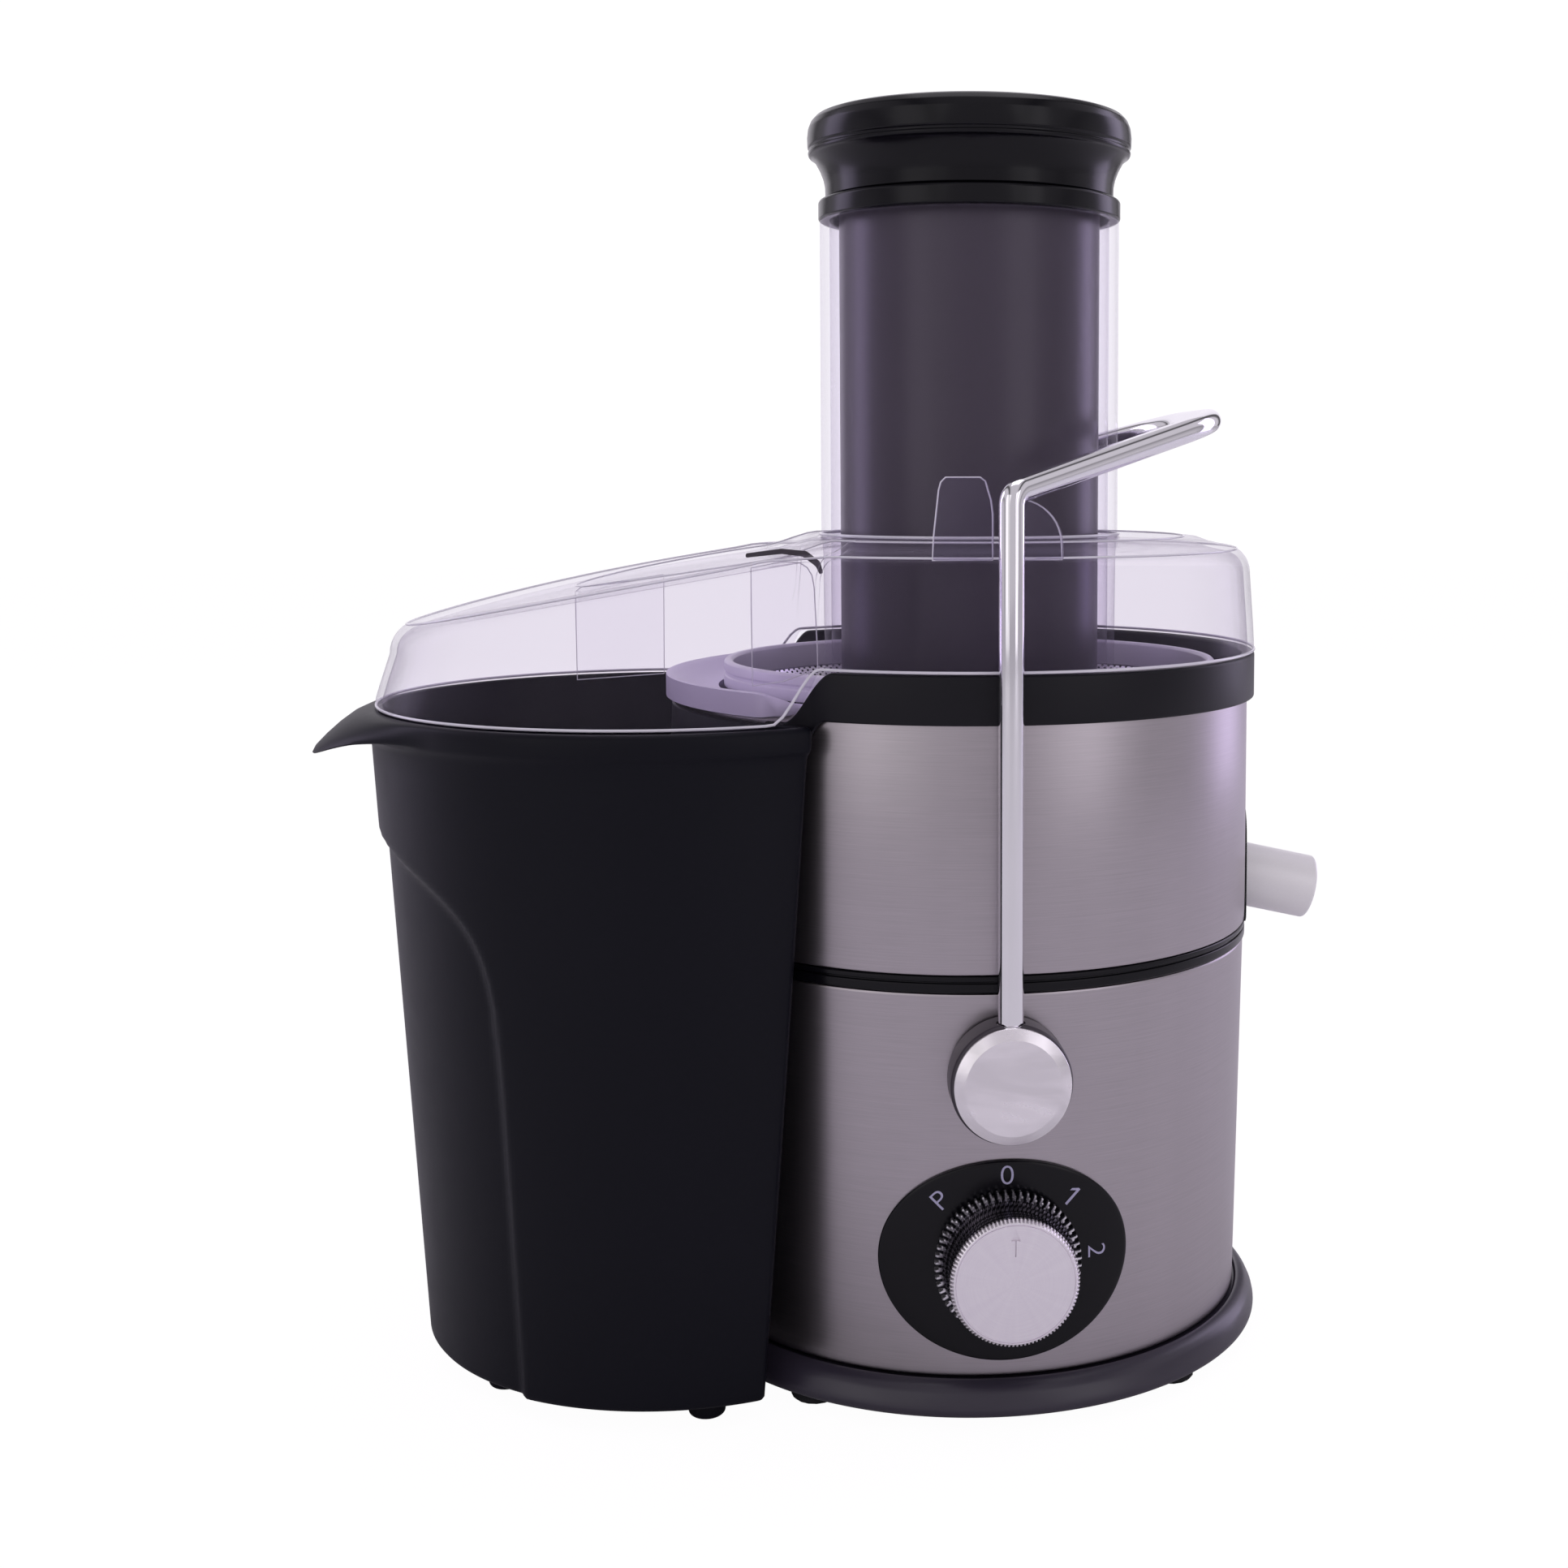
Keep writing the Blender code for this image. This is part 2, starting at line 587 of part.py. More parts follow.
def bin_outline(middle_x, round_r, clear_r, corner_r, reach, arc_steps=42):
    """Outline of the bin: a circle cut by a hollow round the body, with rounded corners.

    reach(turn) moves a point of the round side outwards, at an angle from -X in degrees."""
    far, near = round_r - corner_r, clear_r + corner_r
    corner_x = (near * near - far * far + middle_x * middle_x) / (2 * middle_x)
    corner_y = sqrt(near * near - corner_x * corner_x)
    end_turn = atan2(corner_y, corner_x - middle_x)
    points = []
    for k in range(arc_steps + 1):
        turn = end_turn + (2 * pi - 2 * end_turn) * k / arc_steps
        r = round_r + reach(abs(degrees(turn) - 180))
        points.append((middle_x + r * cos(turn), r * sin(turn)))
    hollow_turn = atan2(corner_y, corner_x)
    inner_turn = pi - hollow_turn
    for k in (1, 2, 3):
        turn = -end_turn + (inner_turn + end_turn) * k / 4
        points.append((corner_x + corner_r * cos(turn), -corner_y + corner_r * sin(turn)))
    for k in range(11):
        turn = -hollow_turn - 2 * (pi - hollow_turn) * k / 10
        points.append((clear_r * cos(turn), clear_r * sin(turn)))
    for k in (3, 2, 1):
        turn = end_turn - (inner_turn + end_turn) * k / 4
        points.append((corner_x + corner_r * cos(turn), corner_y + corner_r * sin(turn)))
    return points


def grip_depth(z, turn):
    """Depth of the finger recess, at an angle from -X: it widens downwards along a curved crease."""
    height = z / MM
    if height > 161:
        return 0.0
    crease = 58 - 45 * exp((height - 161) / 11)
    return GRIP_DEPTH * smooth((crease - turn) / 5) * smooth((161 - height) / 3)


def lip_share(turn):
    """1 at the middle of the pouring lip and 0 away from it, at an angle from -X."""
    return smooth((52 - turn) / 40)


def bin_layer(z, grow=0.0, inward=0.0, lip=0.0, droop=0.0):
    """One level outline of the bin, with the lip's reach and droop."""
    share = (z - BIN_LOW_Z) / (BIN_TOP_Z - BIN_LOW_Z)
    middle_x = BIN_LOW_X + (BIN_TOP_X - BIN_LOW_X) * share
    round_r = BIN_LOW_R + (BIN_TOP_R - BIN_LOW_R) * share + grow - inward
    clear_r = BIN_CLEAR_LOW_R + (BIN_CLEAR_TOP_R - BIN_CLEAR_LOW_R) * share + inward
    corner_r = max(BIN_CORNER_R - inward, 0.6 * MM)

    def reach(turn):
        return lip * lip_share(turn) - grip_depth(z, turn)

    outline = bin_outline(middle_x, round_r, clear_r, corner_r, reach)
    points = []
    for x, y in outline:
        turn = abs(degrees(atan2(y, middle_x - x)))
        points.append((x, y, z - droop * lip_share(turn)))
    return points


def add_bin(slide, mats):
    levels = (7, 60, 115, 138, 150, 157.5, 161.5, 183)
    layers = [bin_layer(BIN_LOW_Z, inward=0.8 * MM)]
    layers += [bin_layer(z * MM) for z in levels]
    layers += [bin_layer(187.5 * MM, grow=0.5 * MM, lip=1.5 * MM, droop=0.2 * MM),
               bin_layer(189.2 * MM, grow=1.0 * MM, lip=LIP_REACH * 0.45, droop=2.6 * MM),
               bin_layer(189.6 * MM, grow=1.2 * MM, lip=LIP_REACH - 1.0 * MM, droop=LIP_DROOP),
               bin_layer(191 * MM, grow=BIN_RIM, lip=LIP_REACH, droop=LIP_DROOP),
               bin_layer(192.8 * MM, grow=BIN_RIM, lip=LIP_REACH * 0.72, droop=LIP_DROOP * 0.45),
               bin_layer(194.6 * MM, grow=BIN_RIM - 0.4 * MM, lip=LIP_REACH * 0.35,
                         droop=LIP_DROOP * 0.12),
               bin_layer(BIN_TOP_Z, grow=0.2 * MM, lip=1 * MM),
               bin_layer(BIN_TOP_Z, inward=BIN_WALL)]
    inner_levels = (183, 161.5, 157.5, 150, 138, 115, 60, 12)
    layers += [bin_layer(z * MM, inward=BIN_WALL) for z in inner_levels]
    layers.append(bin_layer(BIN_LOW_Z + BIN_WALL, inward=BIN_WALL + 2.5 * MM))
    pulp_bin = add_object("pulp_bin", swept(layers, False), mats["black"], slide, sharp=40)
    stud = mm((0, 0), (4.6, 0), (5.2, 0.6), (5.4, 7.2), (0, 7.2))
    places = ((-83, -67.5), (-83, 67.5), (-141, -42), (-141, 42))
    studs = [turned(stud, SMALL_STEPS, x * MM, y * MM) for x, y in places]
    apply_boolean(pulp_bin, cutter("bin_stud_shapes", joined(studs), slide), "UNION")


# ---------------------------------------------------------------- bail, knob and dial

def bend(before, corner, after, radius, steps):
    """Points of a round bend that replaces a corner between two straight runs."""
    back = (before - corner).normalized()
    ahead = (after - corner).normalized()
    angle = back.angle(ahead)
    start = corner + back * (radius / tan(angle / 2))
    middle = corner + (back + ahead).normalized() * (radius / sin(angle / 2))
    axis = back.cross(ahead).normalized()
    sweep = pi - angle
    points = []
    for k in range(steps + 1):
        turn = Matrix.Rotation(-sweep * k / steps, 3, axis)
        points.append(middle + turn @ (start - middle))
    return points


def bail_path():
    """Centre line of the bail from the front hub round behind the chute to the rear hub."""
    foot = Vector((0, -BAIL_Y, PIVOT_Z + 7 * MM))
    kink = Vector((0, -BAIL_Y, BAIL_TOP_Z))
    corner = Vector((BAIL_REACH, -BAIL_HALF_GRIP, BAIL_TOP_Z + BAIL_RISE * BAIL_REACH))
    grip = Vector((BAIL_REACH, 0, corner.z))
    half = [foot, foot.lerp(kink, 0.5)]
    half += bend(foot, kink, corner, 4.5 * MM, 6)
    half += bend(kink, corner, grip, 40 * MM, 9)
    half.append(grip)
    mirrored = [Vector((p.x, -p.y, p.z)) for p in reversed(half[:-1])]
    return half + mirrored


def add_bail(pivot, mats):
    curve = bpy.data.curves.new("bail", "CURVE")
    curve.dimensions = "3D"
    curve.bevel_depth = BAIL_TUBE_R
    curve.bevel_resolution = 5
    curve.use_fill_caps = True
    points = bail_path()
    spline = curve.splines.new("POLY")
    spline.points.add(len(points) - 1)
    for slot, point in zip(spline.points, points):
        slot.co = (*(point - pivot.location), 1.0)
    curve.materials.append(mats["chrome"])
    tube = bpy.data.objects.new("bail", curve)
    bpy.context.scene.collection.objects.link(tube)
    tube.parent = pivot

    boss = mm((4.3, 86.1), (16.2, 86.1), (16.8, 86.7), (16.8, 96), (0, 96), (0, 93.4),
              (4.3, 93.4))
    cap = mm((0, 96.3), (16.1, 96.3), (16.1, 97.6), (13, 99), (0, 99))
    pin = mm((0, 74), (8, 74), (8, 76), (4, 76), (4, 93), (0, 93))
    for name, side in (("front", -1), ("rear", 1)):
        hub = add_object("bail_hub_" + name, turned_about_y(boss, MID_STEPS, PIVOT_Z, side),
                         mats["charcoal"], pivot)
        socket = turned(mm((0, 106.5), (3.9, 106.5), (3.9, 122), (0, 122)), SMALL_STEPS,
                        0, side * BAIL_Y)
        apply_boolean(hub, cutter("bail_socket_" + name, socket, pivot))
        add_object("bail_hub_cap_" + name, turned_about_y(cap, 48, PIVOT_Z, side),
                   mats["chrome"], pivot)
        add_object("pivot_pin_" + name, turned_about_y(pin, SMALL_STEPS, PIVOT_Z, side),
                   mats["iron"], pivot)


def dial_point(share, turn, lift):
    """A point of the dial plate: share 0 to 1 from its middle to its edge, wrapped on the steel."""
    z = KNOB_Z - 0.5 * MM + DIAL_HALF_HIGH * share * sin(turn)
    around = DIAL_HALF_ARC * share * cos(turn)
    radius = steel_r(z) + GAP + lift
    return (radius * sin(around), -radius * cos(around), z)


def add_dial(root, mats):
    hole = 0.13
    back = 0.3 * MM
    layers = [(hole, back), (0.45, back), (0.75, back), (1.0, back), (1.0, 0.8 * MM),
              (0.985, DIAL_THICK), (0.75, DIAL_THICK), (0.45, DIAL_THICK), (hole, DIAL_THICK)]
    sections = []
    for share, lift in layers:
        sections.append([dial_point(share, 2 * pi * k / 44, lift) for k in range(44)])
    add_object("dial_plate", swept(sections, True), mats["black"], root)


def toothed_circle(radius, depth, teeth, y, z):
    """A ribbed outline about a line along Y: each tooth has a flat top and a flat gap."""
    points = []
    for k in range(teeth * 4):
        r = radius if k % 4 in (0, 1) else radius - depth
        turn = 2 * pi * k / (teeth * 4)
        points.append((r * cos(turn), y, z + r * sin(turn)))
    return points


def add_knob(turning, mats):
    layers = ((20.5, 0.7, 86.6), (20.2, 0.7, 90.0), (18.6, 0.5, 93.0), (17.0, 0.4, 99.7),
              (3.4, 0, 99.7), (3.4, 0, 86.6))
    body = [toothed_circle(r * MM, depth * MM, 16, -y * MM, KNOB_Z) for r, depth, y in layers]
    add_object("knob_body", swept(body, True), mats["black"], turning)
    face_layers = ((17.2, 100.0), (17.6, 100.4), (17.6, 101.7), (16.9, 102.5))
    face = [toothed_circle(r * MM, 0, 11, -y * MM, KNOB_Z) for r, y in face_layers]
    add_object("knob_face", swept(face, False), mats["silver"], turning)
    spindle = mm((0, 62), (3, 62), (3, 99.4), (0, 99.4))
    add_object("knob_spindle", turned_about_y(spindle, SMALL_STEPS, KNOB_Z), mats["iron"],
               turning)


def add_switches(root, mats):
    body = box((-15 * MM, -77 * MM, KNOB_Z - 15 * MM), (15 * MM, -58 * MM, KNOB_Z + 15 * MM))
    switch = add_object("rotary_switch", body, mats["white"], root)
    bore = along_y(3.4 * MM, 61 * MM, 80 * MM, KNOB_Z)
    apply_boolean(switch, cutter("switch_bore_cutter", bore, root))
    interlock = box((12 * MM, -73 * MM, 90 * MM), (30 * MM, -62 * MM, 104 * MM))
    add_object("interlock_switch", interlock, mats["black"], root)
    gland = mm((3.4, 76), (6, 76), (6, 85), (8.5, 85), (8.5, 86.5), (7, 87.5), (5.6, 101.5),
               (3.4, 101.5))
    add_object("cord_gland", turned_about_y(gland, SMALL_STEPS, 30 * MM, 1), mats["rubber"],
               root)


# ---------------------------------------------------------------- motor

def add_stator(root, mats):
    outer = rounded_box(31 * MM, 28 * MM, 8 * MM, 48)
    stack = framed(outer, circle(STATOR_BORE, 48), STATOR_LOW_Z, STATOR_HIGH_Z)
    add_object("stator", stack, mats["iron"], root)
    upper = mm((21.5, 94.3), (27, 94.3), (27, 98), (25.5, 99.4), (23, 99.4), (21.5, 98))
    lower = mm((21.5, 60), (23, 58.6), (25.5, 58.6), (27, 60), (27, 63.7), (21.5, 63.7))
    add_object("field_winding_upper", turned(upper, SMALL_STEPS), mats["copper"], root)
    add_object("field_winding_lower", turned(lower, SMALL_STEPS), mats["copper"], root)
    bolt_holes = [turned(((0, 20 * MM), (2.4 * MM, 20 * MM), (2.4 * MM, 112 * MM),
                          (0, 112 * MM)), 16, x, 0) for x in (-BOLT_X, BOLT_X)]
    tool = cutter("bolt_hole_cutter", joined(bolt_holes), root)
    bar = rounded_box(41 * MM, 15 * MM, 6 * MM, 32)
    for name, low in (("upper", 100.2 * MM), ("lower", 33.5 * MM)):
        plate = framed(bar, circle(11.3 * MM, 32), low, low + 3.5 * MM)
        bracket = add_object("motor_bracket_" + name, plate, mats["iron"], root)
        apply_boolean(bracket, tool)
        race = [(4.2 * MM, low), (11 * MM, low), (11 * MM, low + 7 * MM),
                (4.2 * MM, low + 7 * MM)]
        add_object("bearing_" + name, turned(race, SMALL_STEPS), mats["steel"], root)
    for name, x in (("left", -BOLT_X), ("right", BOLT_X)):
        bolt = mm((0, 29), (4, 29), (4, 33.2), (2, 33.2), (2, 113), (0, 113))
        add_object("motor_bolt_" + name, turned(bolt, 16, x), mats["iron"], root)
        bush = mm((2.4, 104), (6, 104), (6, 107), (4.8, 108.5), (4.8, 111), (6, 112.5),
                  (6, 115.7), (2.4, 115.7))
        add_object("motor_mount_" + name, turned(bush, SMALL_STEPS, x), mats["rubber"], root)


def rectangle_ring(half_y, half_z, middle_z, x):
    return [(x, -half_y, middle_z - half_z), (x, half_y, middle_z - half_z),
            (x, half_y, middle_z + half_z), (x, -half_y, middle_z + half_z)]


def add_brushes(root, mats):
    middle = 52 * MM
    for name, side in (("left", -1), ("right", 1)):
        near, far = side * 13 * MM, side * 30 * MM
        outer, inner = (4.5 * MM, 5 * MM), (2.9 * MM, 3.4 * MM)
        sleeve = [rectangle_ring(*outer, middle, near), rectangle_ring(*outer, middle, far),
                  rectangle_ring(*inner, middle, far), rectangle_ring(*inner, middle, near)]
        add_object("brush_holder_" + name, swept(sleeve, True), mats["white"], root)
        block = [rectangle_ring(2.6 * MM, 3.1 * MM, middle, side * 11.4 * MM),
                 rectangle_ring(2.6 * MM, 3.1 * MM, middle, side * 25 * MM)]
        add_object("carbon_brush_" + name, swept(block, False), mats["carbon"], root)


def add_rotor(spindle, mats):
    shaft = mm((0, 32), (3.4, 32), (3.9, 32.5), (3.9, 152), (0, 152))
    add_object("motor_shaft", turned(shaft, SMALL_STEPS), mats["iron"], spindle)
    segments = mm((4.2, 46), (11, 46), (11, 58), (4.2, 58))
    add_object("commutator", turned(segments, SMALL_STEPS), mats["copper"], spindle)
    slots = 8
    outline = []
    for k in range(slots):
        for offset, r in ((-17, 19.5), (-6, 19.5), (6, 19.5), (17, 19.5), (19, 14), (26, 14)):
            turn = radians(k * 360 / slots + offset)
            outline.append((r * MM * cos(turn), r * MM * sin(turn)))
    core = framed(outline, circle(4.2 * MM, len(outline)), STATOR_LOW_Z, STATOR_HIGH_Z)
    add_object("armature_core", core, mats["iron"], spindle)
    star = []
    for k in range(12):
        r = (11.2, 9.6)[k % 2] * MM
        star.append((r * cos(radians(k * 30)), r * sin(radians(k * 30))))
    drive = framed(star, circle(4.2 * MM, 12), 141.2 * MM, 152 * MM)
    add_object("drive_coupling", drive, mats["charcoal"], spindle)


def add_fan(spindle, mats):
    """A disc with nine skewed upright blades under the deck."""
    disc = mm((4.2, 108.4), (9, 108.4), (9, 109.4), (28, 109.4), (28, 110.6), (4.2, 110.6))
    wheel = add_object("cooling_fan", turned(disc, MID_STEPS), mats["white"], spindle)
    blades = []
    for k in range(9):
        blade = box((10 * MM, -0.6 * MM, 110 * MM), (26.5 * MM, 0.6 * MM, 115.2 * MM))
        middle = Matrix.Translation((18 * MM, 0, 0))
        skewed = middle @ Matrix.Rotation(radians(35), 4, "Z") @ middle.inverted()
        blade.transform(Matrix.Rotation(2 * pi * k / 9, 4, "Z") @ skewed)
        blades.append(blade)
    apply_boolean(wheel, cutter("fan_blade_shapes", joined(blades), spindle), "UNION")


def add_seal(root, mats):
    seal = mm((4.4, 116), (13.2, 116), (13.2, 118.6), (9, 121.5), (4.4, 121.5))
    add_object("shaft_seal", turned(seal, SMALL_STEPS), mats["rubber"], root)


# ---------------------------------------------------------------- the whole juicer

def build():
    clear_scene()
    mats = make_materials()
    root = empty("juicer_axis", (BODY_X, 0, 0))
    add_base(root, mats)
    add_housing(root, mats)
    add_collar(root, mats)
    add_bowl(root, mats)
    add_lid(root, mats)
    add_dial(root, mats)
    add_switches(root, mats)
    add_stator(root, mats)
    add_brushes(root, mats)
    add_seal(root, mats)

    spindle = empty("spindle_axis", (0, 0, 0), root)
    add_rotor(spindle, mats)
    add_fan(spindle, mats)
    add_basket(spindle, mats)

    add_pusher(empty("pusher_slide", (0, 0, 0), root), mats)
    add_bin(empty("bin_slide", (BIN_TOP_X, 0, 0), root), mats)
    add_bail(empty("bail_pivot", (0, 0, PIVOT_Z), root), mats)
    add_knob(empty("knob_axis", (0, 0, KNOB_Z), root), mats)


build()
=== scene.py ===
"""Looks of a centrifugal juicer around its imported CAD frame.

Lengths are in metres. The upright axis of the motor is the line x = AXIS_X, y = 0; the knob faces
-Y, the spout points to +X and the pulp bin stands at -X.
"""
from math import atan2, cos, degrees, exp, hypot, pi, radians, sin, sqrt, tan

import bmesh
import bpy
from mathutils import Matrix, Vector


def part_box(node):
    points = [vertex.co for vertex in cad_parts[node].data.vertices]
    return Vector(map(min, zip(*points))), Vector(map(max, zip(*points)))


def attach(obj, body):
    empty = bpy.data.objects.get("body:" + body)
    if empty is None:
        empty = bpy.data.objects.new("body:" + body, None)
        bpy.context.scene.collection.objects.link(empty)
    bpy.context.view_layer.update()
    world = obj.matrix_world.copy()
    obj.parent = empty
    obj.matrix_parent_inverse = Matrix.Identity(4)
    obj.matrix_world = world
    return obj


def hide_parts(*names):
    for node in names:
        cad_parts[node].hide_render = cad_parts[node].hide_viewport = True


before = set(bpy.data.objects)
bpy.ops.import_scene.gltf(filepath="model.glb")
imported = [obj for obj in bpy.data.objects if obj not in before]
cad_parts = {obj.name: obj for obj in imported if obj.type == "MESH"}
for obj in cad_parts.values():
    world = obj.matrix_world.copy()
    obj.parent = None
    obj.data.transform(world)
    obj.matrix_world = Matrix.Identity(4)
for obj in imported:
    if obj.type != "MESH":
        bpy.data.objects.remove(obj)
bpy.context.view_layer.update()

MM = 0.001
RING_LOW, RING_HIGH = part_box("base_ring")
AXIS_X = (RING_LOW.x + RING_HIGH.x) / 2
CUP_LOW, CUP_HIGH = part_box("bail_hub_cap_front")
PIVOT_Z = (CUP_LOW.z + CUP_HIGH.z) / 2
FACE_LOW, FACE_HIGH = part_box("knob_face")
KNOB_Z = (FACE_LOW.z + FACE_HIGH.z) / 2
FULL_TURN = 2 * pi
SKIRT_TEETH = 60
FINE_TEETH = 90


# ---------------------------------------------------------------- shader tools

class Socket:
    """One output of a shader node, which takes part in Python arithmetic."""

    def __init__(self, finish, output):
        self.finish = finish
        self.output = output

    def math(self, operation, first, second=0.0):
        return self.finish.node("Math", {"operation": operation}, {0: first, 1: second})

    def __add__(self, other):
        return self.math("ADD", self, other)

    def __radd__(self, other):
        return self.math("ADD", other, self)

    def __sub__(self, other):
        return self.math("SUBTRACT", self, other)

    def __rsub__(self, other):
        return self.math("SUBTRACT", other, self)

    def __mul__(self, other):
        return self.math("MULTIPLY", self, other)

    def __rmul__(self, other):
        return self.math("MULTIPLY", other, self)

    def __truediv__(self, other):
        return self.math("DIVIDE", self, other)

    def __pow__(self, other):
        return self.math("POWER", self, other)


class Finish:
    """A material under construction."""

    def __init__(self, name):
        self.material = bpy.data.materials.new(name)
        self.material.use_nodes = True
        self.tree = self.material.node_tree
        self.tree.nodes.clear()

    def node(self, kind, settings=None, values=None, out=0):
        """Adds any node: its settings first, then the values or links of its sockets."""
        made = self.tree.nodes.new("ShaderNode" + kind)
        for key, value in (settings or {}).items():
            if key == "stops":
                ramp = made.color_ramp
                while len(ramp.elements) < len(value):
                    ramp.elements.new(0.5)
                for element, (place, colour) in zip(ramp.elements, value):
                    element.position = place
                    element.color = (*colour, 1.0)
            else:
                setattr(made, key, value)
        for key, value in (values or {}).items():
            if isinstance(value, Socket):
                self.tree.links.new(value.output, made.inputs[key])
            else:
                made.inputs[key].default_value = value
        return Socket(self, made.outputs[out]) if len(made.outputs) else None

    def place(self):
        """Object coordinates, with the motor's axis moved to the middle."""
        where = self.node("TexCoord", out=3)
        return self.node("Mapping", None, {0: where, 1: (-AXIS_X, 0, 0)})

    def split(self, vector):
        return [self.node("SeparateXYZ", None, {0: vector}, out=k) for k in range(3)]

    def join(self, x, y, z):
        return self.node("CombineXYZ", None, {0: x, 1: y, 2: z})

    def angle(self, up, across):
        return self.node("Math", {"operation": "ARCTAN2"}, {0: up, 1: across})

    def wave(self, value):
        return self.node("Math", {"operation": "SINE"}, {0: value})

    def clamped(self, value, gain, offset):
        """A value with more contrast, kept between 0 and 1."""
        settings = {"operation": "MULTIPLY_ADD", "use_clamp": True}
        return self.node("Math", settings, {0: value, 1: gain, 2: offset})

    def noise(self, vector, scale, detail=2.0, rough=0.5):
        values = {"Vector": vector, "Scale": scale, "Detail": detail, "Roughness": rough}
        return self.node("TexNoise", None, values)

    def mix(self, factor, first, second):
        """Two colours mixed by a factor."""
        values = {0: factor, 6: first, 7: second}
        return self.node("Mix", {"data_type": "RGBA"}, values, out=2)

    def bump(self, height, strength, distance):
        values = {"Height": height, "Strength": strength, "Distance": distance}
        return self.node("Bump", None, values)

    def principled(self, values):
        return self.node("BsdfPrincipled", None, values)

    def done(self, surface):
        self.node("OutputMaterial", None, {0: surface})
        return self.material


def colour(r, g, b):
    return (r, g, b, 1.0)


def tinted(tone, share=1.0):
    """A tone made darker or paler, never past full."""
    return colour(*(min(c * share, 1.0) for c in tone))


def moulded(name, tone, light, roughness, grain=0.0005, depth=0.00003, sheen=0.3):
    """Moulded plastic: spark-eroded grain, faint flow mottling and slightly handled gloss."""
    f = Finish(name)
    place = f.place()
    fine = f.noise(place, 1 / grain, 3.0, 0.6)
    broad = f.noise(place, 24.0, 3.0, 0.55)
    patches = f.noise(place, 90.0, 2.0, 0.5)
    shade = f.mix(broad * 0.6 + fine * 0.25, tinted(tone), tinted(light))
    normal = f.bump(fine, 0.35, depth)
    return f.done(f.principled({
        "Base Color": shade, "Roughness": roughness - 0.05 + 0.06 * patches + 0.05 * fine,
        "Normal": normal, "Specular IOR Level": sheen}))


def brushed_round(name, tone, roughness):
    """Sheet steel with fine brushing that runs level round the upright axis, and upright bands of
    painted reflection in its colour.
    """
    f = Finish(name)
    place = f.place()
    x, y, z = f.split(place)
    around = f.angle(y, x)
    wide = f.noise(f.join(around * 2.2, z * 2600.0, 0.0), 1.0, 3.0, 0.7)
    thin = f.noise(f.join(around * 7.0, z * 7000.0, 3.0), 1.0, 2.0, 0.6)
    # Painted reflection: soft upright bands round the body, darker and paler in the colour.
    upright = f.noise(f.join(around * 3.4, 0.0, 7.0), 1.0, 2.0, 0.5)
    cloud = f.noise(place, 9.0, 2.0, 0.5)
    # The grain mixes the real brushing with the painted reflection bands.
    grain = wide * 0.40 + thin * 0.30 + upright * 0.30
    shade = f.mix(grain, tinted(tone, 0.66), tinted(tone, 1.34))
    normal = f.bump(grain, 0.18, 0.00004)
    return f.done(f.principled({
        "Base Color": shade, "Metallic": 1.0,
        "Roughness": roughness - 0.08 + 0.12 * grain + 0.05 * cloud,
        "Anisotropic": 0.65, "Normal": normal}))


def polished(name, tone, roughness):
    """Plated metal: mirror bright, with faint haze and the odd wiped patch."""
    f = Finish(name)
    place = f.place()
    haze = f.noise(place, 60.0, 3.0, 0.55)
    ripple = f.noise(place, 26.0, 1.0, 0.4)
    shade = f.mix(haze, tinted(tone), tinted(tone, 1.06))
    normal = f.bump(ripple, 0.10, 0.0004)
    return f.done(f.principled({
        "Base Color": shade, "Metallic": 1.0, "Roughness": roughness + 0.05 * haze,
        "Normal": normal}))


def painted_reflection_clouds(name, tone, roughness):
    """Plated cap seen close to: drifting soft patches of painted reflection in its colour, which
    also vary its gloss.
    """
    f = Finish(name)
    place = f.place()
    level = f.node("Mapping", None, {0: place, 3: (0.45, 1.0, 1.3)})
    painted_reflection_drift = f.node("TexNoise", None, {"Vector": level, "Scale": 62.0, "Detail": 3.0,
                                      "Roughness": 0.5, "Distortion": 1.6})
    fine = f.noise(place, 300.0, 2.0, 0.5)
    # Painted reflection: the drifting patches make the colour darker and paler.
    shade = f.mix(f.clamped(painted_reflection_drift, 3.2, -1.1), tinted(tone, 0.84), tinted(tone))
    return f.done(f.principled({
        "Base Color": shade, "Metallic": 0.9,
        "Roughness": roughness + 0.10 * painted_reflection_drift + 0.02 * fine}))


def painted_glint_ring(name, tone, teeth, slant):
    """Toothed ring of a level knob: painted highlights on the plated teeth, painted shade in the
    gaps and uneven painted glints, all in its colour.
    """
    f = Finish(name)
    place = f.place()
    x, y, z = f.split(place)
    around = f.angle(z - KNOB_Z, x)
    # Painted light and shade: teeth coloured bright and gaps coloured dark by their angle round
    # the knob.
    painted_tooth_light = f.wave(around * float(teeth) + y * slant) * 0.5 + 0.5
    # Painted glints: uneven bright patches along the teeth, also in the roughness.
    painted_glint = f.noise(f.join(around * teeth / 4.2, y * 900.0, 0.0), 1.0, 1.0, 0.5)
    shine = f.clamped(painted_tooth_light, 3.0, -0.9) * painted_glint * 1.5
    shade = f.mix(shine, colour(0.012, 0.012, 0.016), tinted(tone))
    return f.done(f.principled({
        "Base Color": shade, "Metallic": 0.85, "Roughness": 0.16 + 0.12 * painted_glint}))


